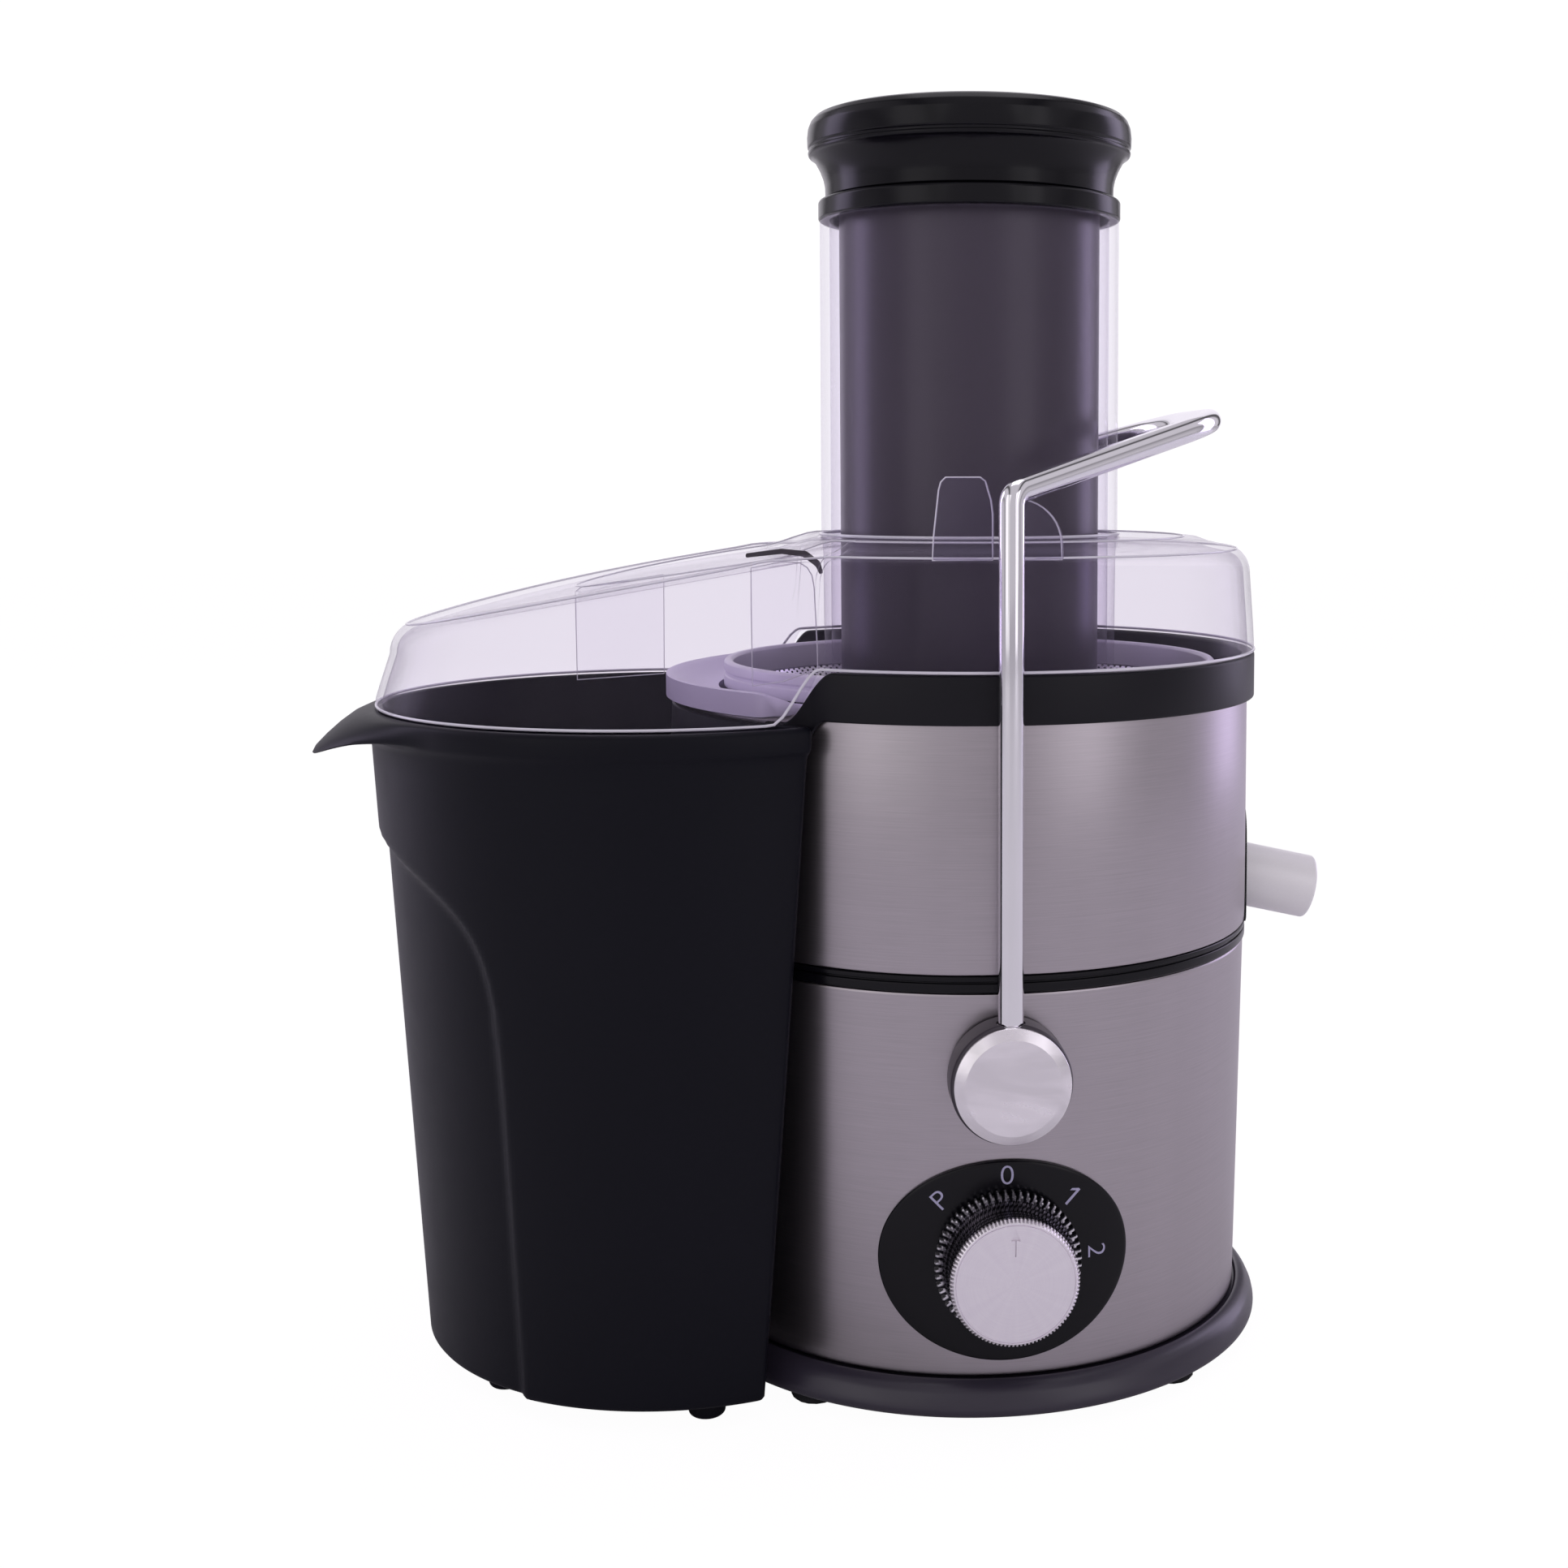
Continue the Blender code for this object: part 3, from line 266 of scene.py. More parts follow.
def turned_silver(name, tone, roughness, middle_z):
    """A face turned on a lathe about a level axis: fine rings, with a fan of soft glints painted
    into its colour.
    """
    f = Finish(name)
    place = f.place()
    x, y, z = f.split(place)
    up = z - middle_z
    radius = (x * x + up * up) ** 0.5
    around = f.angle(up, x)
    groove = f.noise(f.join(radius * 5200.0, around * 1.2, y * 900.0), 1.0, 2.0, 0.5)
    # Painted glints: brighter and darker sectors round the middle, in the colour and the
    # roughness.
    painted_glint = f.noise(f.join(around * 3.0, 0.0, 0.0), 1.6, 2.0, 0.5)
    shade = f.mix(groove * 0.5 + painted_glint * 0.5, tinted(tone, 0.86), tinted(tone, 1.10))
    normal = f.bump(groove, 0.15, 0.00003)
    return f.done(f.principled({
        "Base Color": shade, "Metallic": 0.85, "Roughness": roughness + 0.10 * painted_glint,
        "Anisotropic": 0.4, "Normal": normal}))


def satin_silver(name, tone, roughness):
    """Silver lacquer over plastic: very fine metal flake under a satin top."""
    f = Finish(name)
    place = f.place()
    flake = f.noise(place, 2600.0, 1.0, 0.5)
    broad = f.noise(place, 30.0, 2.0, 0.5)
    shade = f.mix(flake * 0.5 + broad * 0.5, tinted(tone, 0.90), tinted(tone, 1.06))
    return f.done(f.principled({
        "Base Color": shade, "Metallic": 0.20, "Roughness": roughness + 0.10 * broad}))


def clear(name, through, body, least, most, keen=3.4):
    """Clear moulded plastic: see-through face on, paler towards its edges, with faint haze."""
    f = Finish(name)
    place = f.place()
    haze = f.noise(place, 14.0, 2.0, 0.5)
    ripple = f.noise(place, 34.0, 2.0, 0.45)
    normal = f.bump(ripple, 0.12, 0.0006)
    edge = f.node("LayerWeight", None, {"Blend": 0.30, "Normal": normal}, out=1)
    share = least + (most - least) * edge ** keen + least * haze
    open_view = f.node("BsdfTransparent", None, {0: tinted(through)})
    gloss = f.principled({
        "Base Color": f.mix(haze, tinted(body), tinted(body, 1.05)),
        "Roughness": 0.05 + 0.04 * haze, "Specular IOR Level": 0.9, "Normal": normal})
    return f.done(f.node("MixShader", None, {0: share, 1: open_view, 2: gloss}))


def winding(name, tone):
    """Enamelled wire laid in level turns."""
    f = Finish(name)
    place = f.place()
    x, y, z = f.split(place)
    radius = (x * x + y * y) ** 0.5
    wire = f.wave((z + radius) * 9000.0) * 0.5 + 0.5
    shade = f.mix(wire, tinted(tone, 0.35), tinted(tone))
    normal = f.bump(wire, 0.6, 0.0003)
    return f.done(f.principled({
        "Base Color": shade, "Metallic": 0.7, "Roughness": 0.45 - 0.15 * wire,
        "Normal": normal}))


def laminated(name, tone):
    """Plain and laminated steel: sheet edges show as fine level lines with a little oxide."""
    f = Finish(name)
    place = f.place()
    z = f.split(place)[2]
    sheets = f.wave(z * 12000.0) * 0.5 + 0.5
    oxide = f.noise(place, 160.0, 4.0, 0.6)
    shade = f.mix(sheets * 0.5 + oxide * 0.5, tinted(tone, 0.5), tinted(tone))
    return f.done(f.principled({
        "Base Color": shade, "Metallic": 0.9, "Roughness": 0.34 + 0.25 * oxide,
        "Normal": f.bump(sheets, 0.3, 0.0001)}))


def perforated(name, tone):
    """Etched sieve sheet: rows of small holes in bright thin steel, each painted dark as the shade
    seen through it.
    """
    f = Finish(name)
    place = f.place()
    x, y, z = f.split(place)
    around = f.angle(y, x)
    rows = f.wave(around * 180.0) * f.wave(z * 3600.0)
    # Painted shade: the holes are dark colour dots, not openings.
    hole_painted_dark = f.node("Math", {"operation": "GREATER_THAN"}, {0: rows, 1: 0.35})
    shade = f.mix(hole_painted_dark, tinted(tone), colour(0.05, 0.05, 0.055))
    return f.done(f.principled({
        "Base Color": shade, "Metallic": 1.0, "Roughness": 0.30 + 0.25 * hole_painted_dark,
        "Normal": f.bump(1 - hole_painted_dark, 0.4, 0.0002)}))


def make_finishes():
    return {
        "steel": brushed_round("brushed_steel", (0.455, 0.418, 0.447), 0.30),
        "sieve": perforated("sieve_steel", (0.62, 0.60, 0.64)),
        "chrome": polished("bright_chrome", (0.86, 0.85, 0.88), 0.05),
        "knob_silver": turned_silver("knob_silver", (0.95, 0.88, 0.97), 0.28, KNOB_Z),
        "spout_silver": satin_silver("spout_silver", (0.99, 0.95, 0.975), 0.38),
        "black": moulded("black_plastic", (0.0034, 0.0031, 0.0058), (0.0060, 0.0054, 0.0095),
                         0.40, 0.0005, 0.00003, 0.24),
        "bin_black": moulded("bin_black", (0.0020, 0.0022, 0.0056), (0.0040, 0.0040, 0.0090),
                             0.44, 0.0006, 0.00004, 0.16),
        "gloss_black": moulded("gloss_black", (0.0028, 0.0027, 0.0042), (0.0046, 0.0043, 0.0068),
                               0.22, 0.0008, 0.000008, 0.24),
        "hub_chrome": painted_reflection_clouds("hub_chrome", (0.97, 0.93, 0.97), 0.20),
        # Knob rings whose colour carries painted highlights on the teeth and painted shade in the
        # gaps.
        "skirt_teeth": painted_glint_ring("skirt_teeth", (0.95, 0.92, 0.98), SKIRT_TEETH, 0.0),
        "fine_teeth": painted_glint_ring("fine_teeth", (0.30, 0.28, 0.33), FINE_TEETH, 3800.0),
        "base": moulded("base_plastic", (0.028, 0.024, 0.037), (0.044, 0.037, 0.057), 0.30,
                        0.0005, 0.00003, 0.5),
        "charcoal": moulded("charcoal_plastic", (0.044, 0.036, 0.047), (0.060, 0.050, 0.064),
                            0.30, 0.0005, 0.00002, 0.45),
        "grey": moulded("bowl_grey", (0.66, 0.59, 0.78), (0.74, 0.67, 0.86), 0.34),
        "pale": moulded("pale_plastic", (0.74, 0.69, 0.82), (0.80, 0.75, 0.88), 0.30),
        "white": moulded("white_plastic", (0.60, 0.60, 0.60), (0.72, 0.72, 0.70), 0.45),
        "rubber": moulded("rubber", (0.012, 0.012, 0.014), (0.022, 0.021, 0.024), 0.72, 0.0004,
                          0.00006, 0.3),
        "clear": clear("clear_plastic", (0.958, 0.944, 0.972), (0.50, 0.46, 0.57), 0.014, 0.80),
        "lug_clear": clear("clear_lug", (0.93, 0.91, 0.96), (0.42, 0.38, 0.50), 0.035, 0.80),
        "rib_clear": clear("clear_rib", (0.985, 0.98, 0.992), (0.50, 0.46, 0.57), 0.004, 0.60),
        "chute_clear": clear("clear_chute", (0.965, 0.95, 0.985), (0.62, 0.58, 0.70), 0.010, 0.70),
        # Pale half-opaque finish of the beads: painted highlights of bright clear edges.
        "bead": clear("clear_bead_painted_highlight", (0.97, 0.96, 0.99), (0.90, 0.88, 0.95), 0.50, 0.80, 2.0),
        "copper": winding("copper_winding", (0.60, 0.24, 0.10)),
        "iron": laminated("laminated_iron", (0.30, 0.30, 0.32)),
        "carbon": moulded("carbon_block", (0.02, 0.02, 0.02), (0.04, 0.04, 0.04), 0.6),
        "mark": moulded("dial_print", (0.42, 0.40, 0.58), (0.50, 0.48, 0.66), 0.5, 0.0005,
                        0.00001),
    }


FINISHES = make_finishes()


# ---------------------------------------------------------------- modelling tools

def deselect():
    if bpy.context.object and bpy.context.object.mode != "OBJECT":
        bpy.ops.object.mode_set(mode="OBJECT")
    bpy.ops.object.select_all(action="DESELECT")


def picked(obj):
    """Selects one object alone and makes it the active one."""
    deselect()
    obj.select_set(True)
    bpy.context.view_layer.objects.active = obj


def named(name):
    """Names the primitive just added, puts its place into its mesh and opens it for editing."""
    obj = bpy.context.object
    obj.name = name
    obj.data.name = name
    bpy.ops.object.transform_apply(location=True, rotation=True, scale=True)
    bpy.ops.object.mode_set(mode="EDIT")
    bpy.ops.mesh.select_all(action="SELECT")
    return obj


def close_mesh():
    """Merges doubles and turns the faces outwards, then leaves edit mode."""
    bpy.ops.mesh.select_all(action="SELECT")
    bpy.ops.mesh.remove_doubles(threshold=2e-6)
    bpy.ops.mesh.normals_make_consistent(inside=False)
    bpy.ops.object.mode_set(mode="OBJECT")


def modified(obj, kind, **settings):
    """Adds a modifier, sets it and applies it."""
    bpy.context.view_layer.objects.active = obj
    made = obj.modifiers.new(kind.lower(), kind)
    for key, value in settings.items():
        setattr(made, key, value)
    bpy.ops.object.modifier_apply(modifier=made.name)
    return obj


def settle(obj, finish, body, replaces=(), angle=35):
    """Shades a finished piece, gives it its finish and hangs it on its body."""
    picked(obj)
    bpy.ops.object.shade_smooth_by_angle(angle=radians(angle))
    obj.data.materials.clear()
    obj.data.materials.append(FINISHES[finish])
    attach(obj, body)
    if replaces:
        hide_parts(*replaces)
    return obj


def eased(profile, radius, steps=3):
    """Rounds each corner of a closed profile, apart from those on the axis."""
    points = [Vector(p) for p in profile]
    count = len(points)
    rounded = []
    for k, corner in enumerate(points):
        back, ahead = points[k - 1] - corner, points[(k + 1) % count] - corner
        if back.length < 1e-7 or ahead.length < 1e-7 or corner.x < 1e-7:
            rounded.append(corner)
            continue
        bend = back.angle(ahead)
        if bend > radians(165):
            rounded.append(corner)
            continue
        reach = min(radius, back.length * 0.42, ahead.length * 0.42)
        start, end = corner + back.normalized() * reach, corner + ahead.normalized() * reach
        for s in range(steps + 1):
            t = s / steps
            rounded.append(start * (1 - t) ** 2 + corner * 2 * t * (1 - t) + end * t * t)
    return rounded


def mm(*pairs):
    return [(a * MM, b * MM) for a, b in pairs]


def spun(name, profile, ease=0.0004, steps=144):
    """Draws a closed profile of (radius, height) point by point and spins it about the axis."""
    points = eased(profile, ease) if ease else [Vector(p) for p in profile]
    deselect()
    first = points[0]
    bpy.ops.mesh.primitive_plane_add(size=MM, location=(AXIS_X + first.x, 0, first.y))
    obj = named(name)
    bpy.ops.mesh.merge(type="CENTER")
    for before, after in zip(points, points[1:] + points[:1]):
        step = (after.x - before.x, 0, after.y - before.y)
        bpy.ops.mesh.extrude_vertices_move(TRANSFORM_OT_translate={"value": step})
    bpy.ops.mesh.select_all(action="SELECT")
    bpy.ops.mesh.spin(steps=steps, angle=FULL_TURN, center=(AXIS_X, 0, 0), axis=(0, 0, 1))
    close_mesh()
    return obj


def placed(obj, matrix):
    """Moves a piece made about the upright axis to where it sits."""
    home = Matrix.Translation((AXIS_X, 0, 0))
    obj.data.transform(home @ matrix @ home.inverted())
    obj.data.update()
    return obj


def facing(side, z):
    """Turns the upright axis to point to -Y (side -1) or +Y (side 1) at a height."""
    turn = Matrix.Rotation(radians(90) if side < 0 else radians(-90), 4, "X")
    return Matrix.Translation((0, 0, z)) @ turn


def stacked(name, rings, open_ends=False):
    """Adds a flat ring of points, then extrudes it level by level, placing each new ring."""
    count = len(rings[0])
    deselect()
    bpy.ops.mesh.primitive_circle_add(vertices=count, radius=1, fill_type="NGON")
    obj = named(name)
    mesh = bmesh.from_edit_mesh(obj.data)
    mesh.faces.ensure_lookup_table()
    for corner, point in zip(mesh.faces[0].verts, rings[0]):
        corner.co = point
    bmesh.update_edit_mesh(obj.data)
    for ring in rings[1:]:
        bpy.ops.mesh.extrude_region_move(TRANSFORM_OT_translate={"value": (0, 0, MM)})
        mesh = bmesh.from_edit_mesh(obj.data)
        top = next(face for face in mesh.faces if face.select)
        for corner, point in zip(top.verts, ring):
            corner.co = point
        bmesh.update_edit_mesh(obj.data)
    if open_ends:
        mesh = bmesh.from_edit_mesh(obj.data)
        ends = [face for face in mesh.faces if len(face.verts) == count]
        bmesh.ops.delete(mesh, geom=ends, context="FACES_ONLY")
        bmesh.update_edit_mesh(obj.data)
    close_mesh()
    return obj


def cut(obj, tool, operation="DIFFERENCE"):
    modified(obj, "BOOLEAN", object=tool, operation=operation, solver="EXACT")
    bpy.data.objects.remove(tool, do_unlink=True)
    return obj


def swept(name, points, radius, roundness, closed):
    """A round wire along a line of points, closed to a loop or with capped ends."""
    curve = bpy.data.curves.new(name, "CURVE")
    curve.dimensions = "3D"
    curve.bevel_depth = radius
    curve.bevel_resolution = roundness
    curve.use_fill_caps = not closed
    spline = curve.splines.new("POLY")
    spline.points.add(len(points) - 1)
    for knot, (x, y, z) in zip(spline.points, points):
        knot.co = (x, y, z, 1.0)
    spline.use_cyclic_u = closed
    wire = bpy.data.objects.new(name, curve)
    bpy.context.scene.collection.objects.link(wire)
    picked(wire)
    bpy.ops.object.convert(target="MESH")
    bpy.ops.object.mode_set(mode="EDIT")
    close_mesh()
    return bpy.context.object


def pressed(obj, shape):
    """Moves every point of a piece by a rule that takes and gives (x, y, z) about the axis."""
    for vert in obj.data.vertices:
        x, y, z = shape(vert.co.x - AXIS_X, vert.co.y, vert.co.z)
        vert.co = (x + AXIS_X, y, z)
    obj.data.update()
    return obj


def smooth(value):
    t = min(max(value, 0.0), 1.0)
    return t * t * (3 - 2 * t)


# ---------------------------------------------------------------- body

def steel_r(z):
    """Outer radius of the tapered lower panel."""
    return (83.3 + (z / MM - 13.8) * 2.4 / 108.7) * MM


SPOUT_TILT = radians(12.8)
SPOUT_MID_X = 89.0 * MM
SPOUT_MID_Z = 136.6 * MM
ARCH_TOP = 164 * MM
ARCH_LOW = 127.8 * MM
FLARE_STEPS = 14


def arch(half_width, top, flare, low):
    """Outline (across, up) of the spout opening: flared feet, straight sides, a round head."""
    points = [(half_width + flare, low - 2 * MM)]
    for k in range(FLARE_STEPS + 1):
        turn = radians(90) * k / FLARE_STEPS
        points.append((half_width + flare - flare * sin(turn), low + flare - flare * cos(turn)))
    for k in range(3 * FLARE_STEPS + 1):
        turn = pi * k / (3 * FLARE_STEPS)
        points.append((half_width * cos(turn), top - half_width + half_width * sin(turn)))
    mirrored = [(-y, z) for y, z in reversed(points[:FLARE_STEPS + 2])]
    return points + mirrored


def arch_block(half_width, top, flare, low):
    outline = arch(half_width, top, flare, low)
    rings = [[(AXIS_X + x, y, z) for y, z in outline] for x in (60 * MM, 96 * MM)]
    return stacked("arch_block", rings)


def spout_line(profile, name, steps=96, ease=0.0003):
    """Spins a profile of (radius, distance) and lays it on the dipping line of the spout."""
    obj = spun(name, profile, ease, steps)
    turn = Matrix.Rotation(radians(90) + SPOUT_TILT, 4, "Y")
    return placed(obj, Matrix.Translation((SPOUT_MID_X, 0, SPOUT_MID_Z)) @ turn)


def spout_bore(radius, near, far, steps):
    """A round cutter on the line of the spout."""
    profile = mm((0, near), (radius, near), (radius, far), (0, far))
    return spout_line(profile, "spout_bore", steps, 0)


def make_base():
    ring = mm((78, 4), (88.9, 4), (90.0, 4.9), (90.15, 6.2), (89.7, 8.2), (88.6, 10.6),
              (87.2, 12.2), (85.6, 13.1), (84.5, 13.45), (84.3, 12.4), (78, 12.4))
    obj = spun("base_moulding", ring, 0.0007, 192)
    settle(obj, "base", "body", ["base_ring"])


def make_panels():
    lower = [(82.4 * MM, 13.6 * MM), (83.3 * MM, 13.6 * MM), (83.4 * MM, 13.8 * MM),
             (85.62 * MM, 121.9 * MM), (85.4 * MM, 122.5 * MM), (84.9 * MM, 122.5 * MM)]
    settle(spun("lower_steel_skin", lower, 0.0002, 240), "steel", "body",
           ["lower_steel_panel"])
    upper = [(85.4 * MM, 127.8 * MM), (86.0 * MM, 127.8 * MM), (86.2 * MM, 128.2 * MM),
             (86.2 * MM, 197.9 * MM), (85.4 * MM, 197.9 * MM)]
    skin = spun("upper_steel_skin", upper, 0.0002, 240)
    cut(skin, arch_block(22 * MM, ARCH_TOP, 9 * MM, ARCH_LOW))
    settle(skin, "steel", "body", ["upper_steel_panel"])
    band = mm((85.2, 122.8), (85.9, 122.8), (86.2, 123.1), (86.2, 125.3), (86.0, 125.5),
              (85.45, 125.55), (85.45, 125.95), (86.0, 126.0), (86.2, 126.2), (86.2, 127.2),
              (85.9, 127.5), (85.2, 127.5))
    groove = spun("mid_band_moulding", band, 0.00012, 240)
    cut(groove, spout_bore(10.4, -16, 7, 64))
    settle(groove, "gloss_black", "body", ["mid_band"])


def make_spout():
    plate = mm((85.2, 127.8), (86.8, 127.8), (86.8, 170), (85.2, 170))
    surround = spun("spout_arch", plate, 0, 240)
    cut(surround, arch_block(21.7 * MM, ARCH_TOP - 0.3 * MM, 9.3 * MM, ARCH_LOW - 0.3 * MM),
        "INTERSECT")
    cut(surround, spout_bore(10.4, -16, 7, 64))
    modified(surround, "BEVEL", width=0.0003, segments=2, limit_method="ANGLE",
             angle_limit=radians(50))
    settle(surround, "gloss_black", "body", ["spout_surround"])
    slope = 1 / cos(SPOUT_TILT)
    low = (78.9 - 89.0) * slope
    high = (109.6 - 89.0) * slope
    tube = mm((8.4, low), (10, low), (10.0, high - 1.4), (10.0, high - 0.5), (9.6, high),
              (8.7, high), (8.4, high - 0.5))
    settle(spout_line(tube, "spout_tube"), "spout_silver", "body", ["juice_spout"])


RIM_HIGH = 210.5 * MM
RIM_LOW = 195.8 * MM
COLLAR_SIDE = 112.0


def rim_z(x):
    """Height of the seam under the lid: level round the body, then an S down to the bin."""
    return RIM_HIGH - (RIM_HIGH - RIM_LOW) * smooth((-50 * MM - x) / (14 * MM))


def collar_section(turn):
    """Cross-section of the collar at an angle from +X in degrees."""
    angle = radians(turn)
    turn = abs(turn)
    end = smooth((turn - 126) / 4)
    inner = 84.4 * MM + 2.4 * MM * smooth((turn - 119) / 5)
    outer = 88.4 * MM + 0.8 * MM * end
    top = rim_z(outer * cos(angle) - 3.0 * MM * smooth((turn - 112) / 8))
    shelf = min(198.3 * MM, top - 2.5 * MM)
    bottom = 196.8 * MM - 9 * MM * smooth((turn - 124) / 6)
    shelf = max(shelf, bottom + 1 * MM)
    skirt = 86.8 * MM
    profile = eased([(inner, top), (outer, top), (outer, bottom), (skirt, bottom),
                     (skirt, shelf), (inner, shelf)], 0.0011, 4)
    return [(AXIS_X + p.x * cos(angle), p.x * sin(angle), p.y) for p in profile]


def make_collar():
    ends = [COLLAR_SIDE + 0.5 * k for k in range(1, 51)]
    turns = [-turn for turn in reversed(ends)]
    turns += [-COLLAR_SIDE + 2 * COLLAR_SIDE * k / 140 for k in range(141)] + ends
    obj = stacked("collar_ring", [collar_section(turn) for turn in turns])
    settle(obj, "black", "body", ["collar"], 30)


# ---------------------------------------------------------------- bowl and basket

FLANGE_R = 80 * MM
FLANGE_Z = 197 * MM
APRON_SIDE = 50


def bowl_shape(x, y, z):
    """Pulls the bowl's flange out over the pulp bin into a rounded apron with a deep edge."""
    radius, angle = hypot(x, y), atan2(y, x)
    if z < FLANGE_Z or radius < FLANGE_R:
        return x, y, z
    from_bin = 180 - abs(degrees(angle))
    tongue = smooth((APRON_SIDE - from_bin) / 6)
    share = (radius - FLANGE_R) / (4 * MM)
    reach = FLANGE_R + share * (4 + 10 * tongue) * MM
    edge = smooth((share - 0.25) / 0.75)
    lift = 4.6 if z > 199 * MM else -1.0
    return reach * cos(angle), reach * sin(angle), z + tongue * lift * edge * MM


def make_bowl():
    profile = mm((12.5, 138), (20, 138), (21, 129), (78, 129), (80, 197.9), (81, 197.9),
                 (82, 197.9), (83, 197.9), (83.6, 197.9), (84, 198.4), (84, 199.4), (83.6, 199.9),
                 (83, 199.9), (82, 199.9), (81, 199.9), (78, 199.9), (75.9, 131.2), (23, 131.2),
                 (22, 140), (12.5, 140))
    bowl = spun("bowl_moulding", profile, 0, 216)
    pressed(bowl, bowl_shape)
    cut(bowl, spout_bore(8.4, -18, -3, 48))
    settle(bowl, "grey", "body", ["juice_bowl"], 40)


def make_basket():
    cone = mm((50.4, 143.8), (51.3, 143.4), (74, 199.6), (73.2, 199.6))
    settle(spun("sieve_cone", cone, 0, 144), "sieve", "spindle", ["filter_basket"])
    rim = mm((72.8, 199.9), (76.3, 199.9), (76.3, 203.2), (75.9, 203.5), (75.9, 204.4),
             (76.3, 204.8), (76.2, 207.3), (75.5, 207.9), (74.2, 207.9), (73.4, 207.1))
    settle(spun("basket_ring", rim, 0.0003, 160), "pale", "spindle", ["basket_rim"])


# ---------------------------------------------------------------- lid

LID_R = 88.3 * MM
BIN_X = -96.0 * MM
LID_BIN_R = 84.0 * MM
CROWN_Z = 243.0 * MM
CHUTE_R = 46.0 * MM


def outline_r(angle, inset=0.0):
    """Distance from the axis to the lid's outline: one circle round the body, one over the bin."""
    body = LID_R - inset
    bin_r = LID_BIN_R - inset
    off_line = BIN_X * sin(angle)
    if cos(angle) >= 0 or abs(off_line) >= bin_r:
        return body
    far = BIN_X * cos(angle) + sqrt(bin_r * bin_r - off_line * off_line)
    high, low = max(body, far), min(body, far)
    return high + 0.5 * MM * exp(-(high - low) / (1.2 * MM))


def shoulder_z(x):
    over = max(-x - 45 * MM, 0.0) / MM
    return CROWN_Z - (0.125 * over + 0.00045 * over * over) * MM


def lid_ring(angle):
    """Cross-section of the lid's shell: outer wall, rounded shoulder, roof, and back inside."""
    over_bin = smooth((outline_r(angle) - LID_R) / (6 * MM))
    draft = (1.6 + 2.8 * over_bin) * MM
    bend = (8.0 + 2.0 * over_bin) * MM
    rim = rim_z(outline_r(angle) * cos(angle)) + 0.3 * MM
    top = shoulder_z(outline_r(angle, draft + bend) * cos(angle))

    def side(skin):
        reach = bend - skin
        low_edge = rim + 2.2 * MM
        points = [(outline_r(angle, skin), rim), (outline_r(angle, skin + 0.1 * MM), low_edge)]
        for k in (1, 2, 3, 4):
            share = k / 4
            z = low_edge + (top - bend - low_edge) * share
            points.append((outline_r(angle, skin + draft * share), z))
        for k in range(1, 10):
            turn = radians(10 * k)
            inset = draft + bend - reach * cos(turn)
            points.append((outline_r(angle, inset), top - bend + reach * sin(turn)))
        return points

    def roof(drop):
        start = outline_r(angle, draft + bend)
        points = []
        for k in range(1, 9):
            share = k / 8
            r = start + (CHUTE_R + 0.2 * MM - start) * share
            ledge = 2.6 * MM * smooth((r * cos(angle) + 62 * MM) / (16 * MM))
            rise = ledge * smooth(share / 0.30)
            points.append((r, shoulder_z(r * cos(angle)) + rise - drop))
        return points

    wall = 2.0 * MM
    profile = side(0) + roof(0) + list(reversed(side(wall) + roof(wall)))
    return [(AXIS_X + r * cos(angle), r * sin(angle), z) for r, z in profile]


FOOT, SHOULDER, LEDGE = 0, 11, 17


def lid_rings():
    """Cross-sections in fine steps round the lid, finest where its two circles meet."""
    half = [1.5 * k for k in range(77)] + [115.2 + 0.7 * k for k in range(28)]
    half += [134.8 + 1.5 * k for k in range(30)]
    angles = [radians(a) for a in half] + [pi] + [radians(-a) for a in reversed(half[1:])]
    return [lid_ring(angle) for angle in angles]


def joined_ends(name, rings):
    """A closed run of cross-sections: extruded level by level, with its two ends bridged."""
    obj = stacked(name, rings, open_ends=True)
    picked(obj)
    bpy.ops.object.mode_set(mode="EDIT")
    bpy.ops.mesh.select_all(action="DESELECT")
    bpy.ops.mesh.select_non_manifold()
    bpy.ops.mesh.bridge_edge_loops()
    close_mesh()
    return obj


def traced(name, outline, near, far, ease=0.0):
    """A flat plate cut to an outline of (across, up), standing between two depths along Y."""
    if ease:
        # Corners on the axis would stay sharp, so they are rounded one metre away from it.
        outline = [(p.x - 1, p.y) for p in eased([(a + 1, b) for a, b in outline], ease, 4)]
    rings = [[(AXIS_X + x, y, z) for x, z in outline] for y in (near, far)]
    return stacked(name, rings)


def tab_outline():
    """Tall finger tab of a locking lug, slightly narrower upwards, with a hooked inner edge."""
    return mm((-20.2, 241.5), (-19.9, 247.6), (-18.5, 260.4), (-17.9, 262.6), (-16.6, 263.9),
              (-7.2, 263.9), (-5.8, 262.9), (-5.1, 260.4), (-4.3, 257.8), (-3.8, 254.0),
              (-3.8, 241.5))


def cam_outline():
    points = [(3.4, 241.5), (3.4, 250.2), (4.2, 251.8), (4.6, 257.9)]
    for k in range(10):
        turn = radians(80 - 8.5 * k)
        points.append((2.9 + 12.2 * cos(turn), 245.6 + 12.4 * sin(turn)))
    points.append((15.3, 241.5))
    return mm(*points)


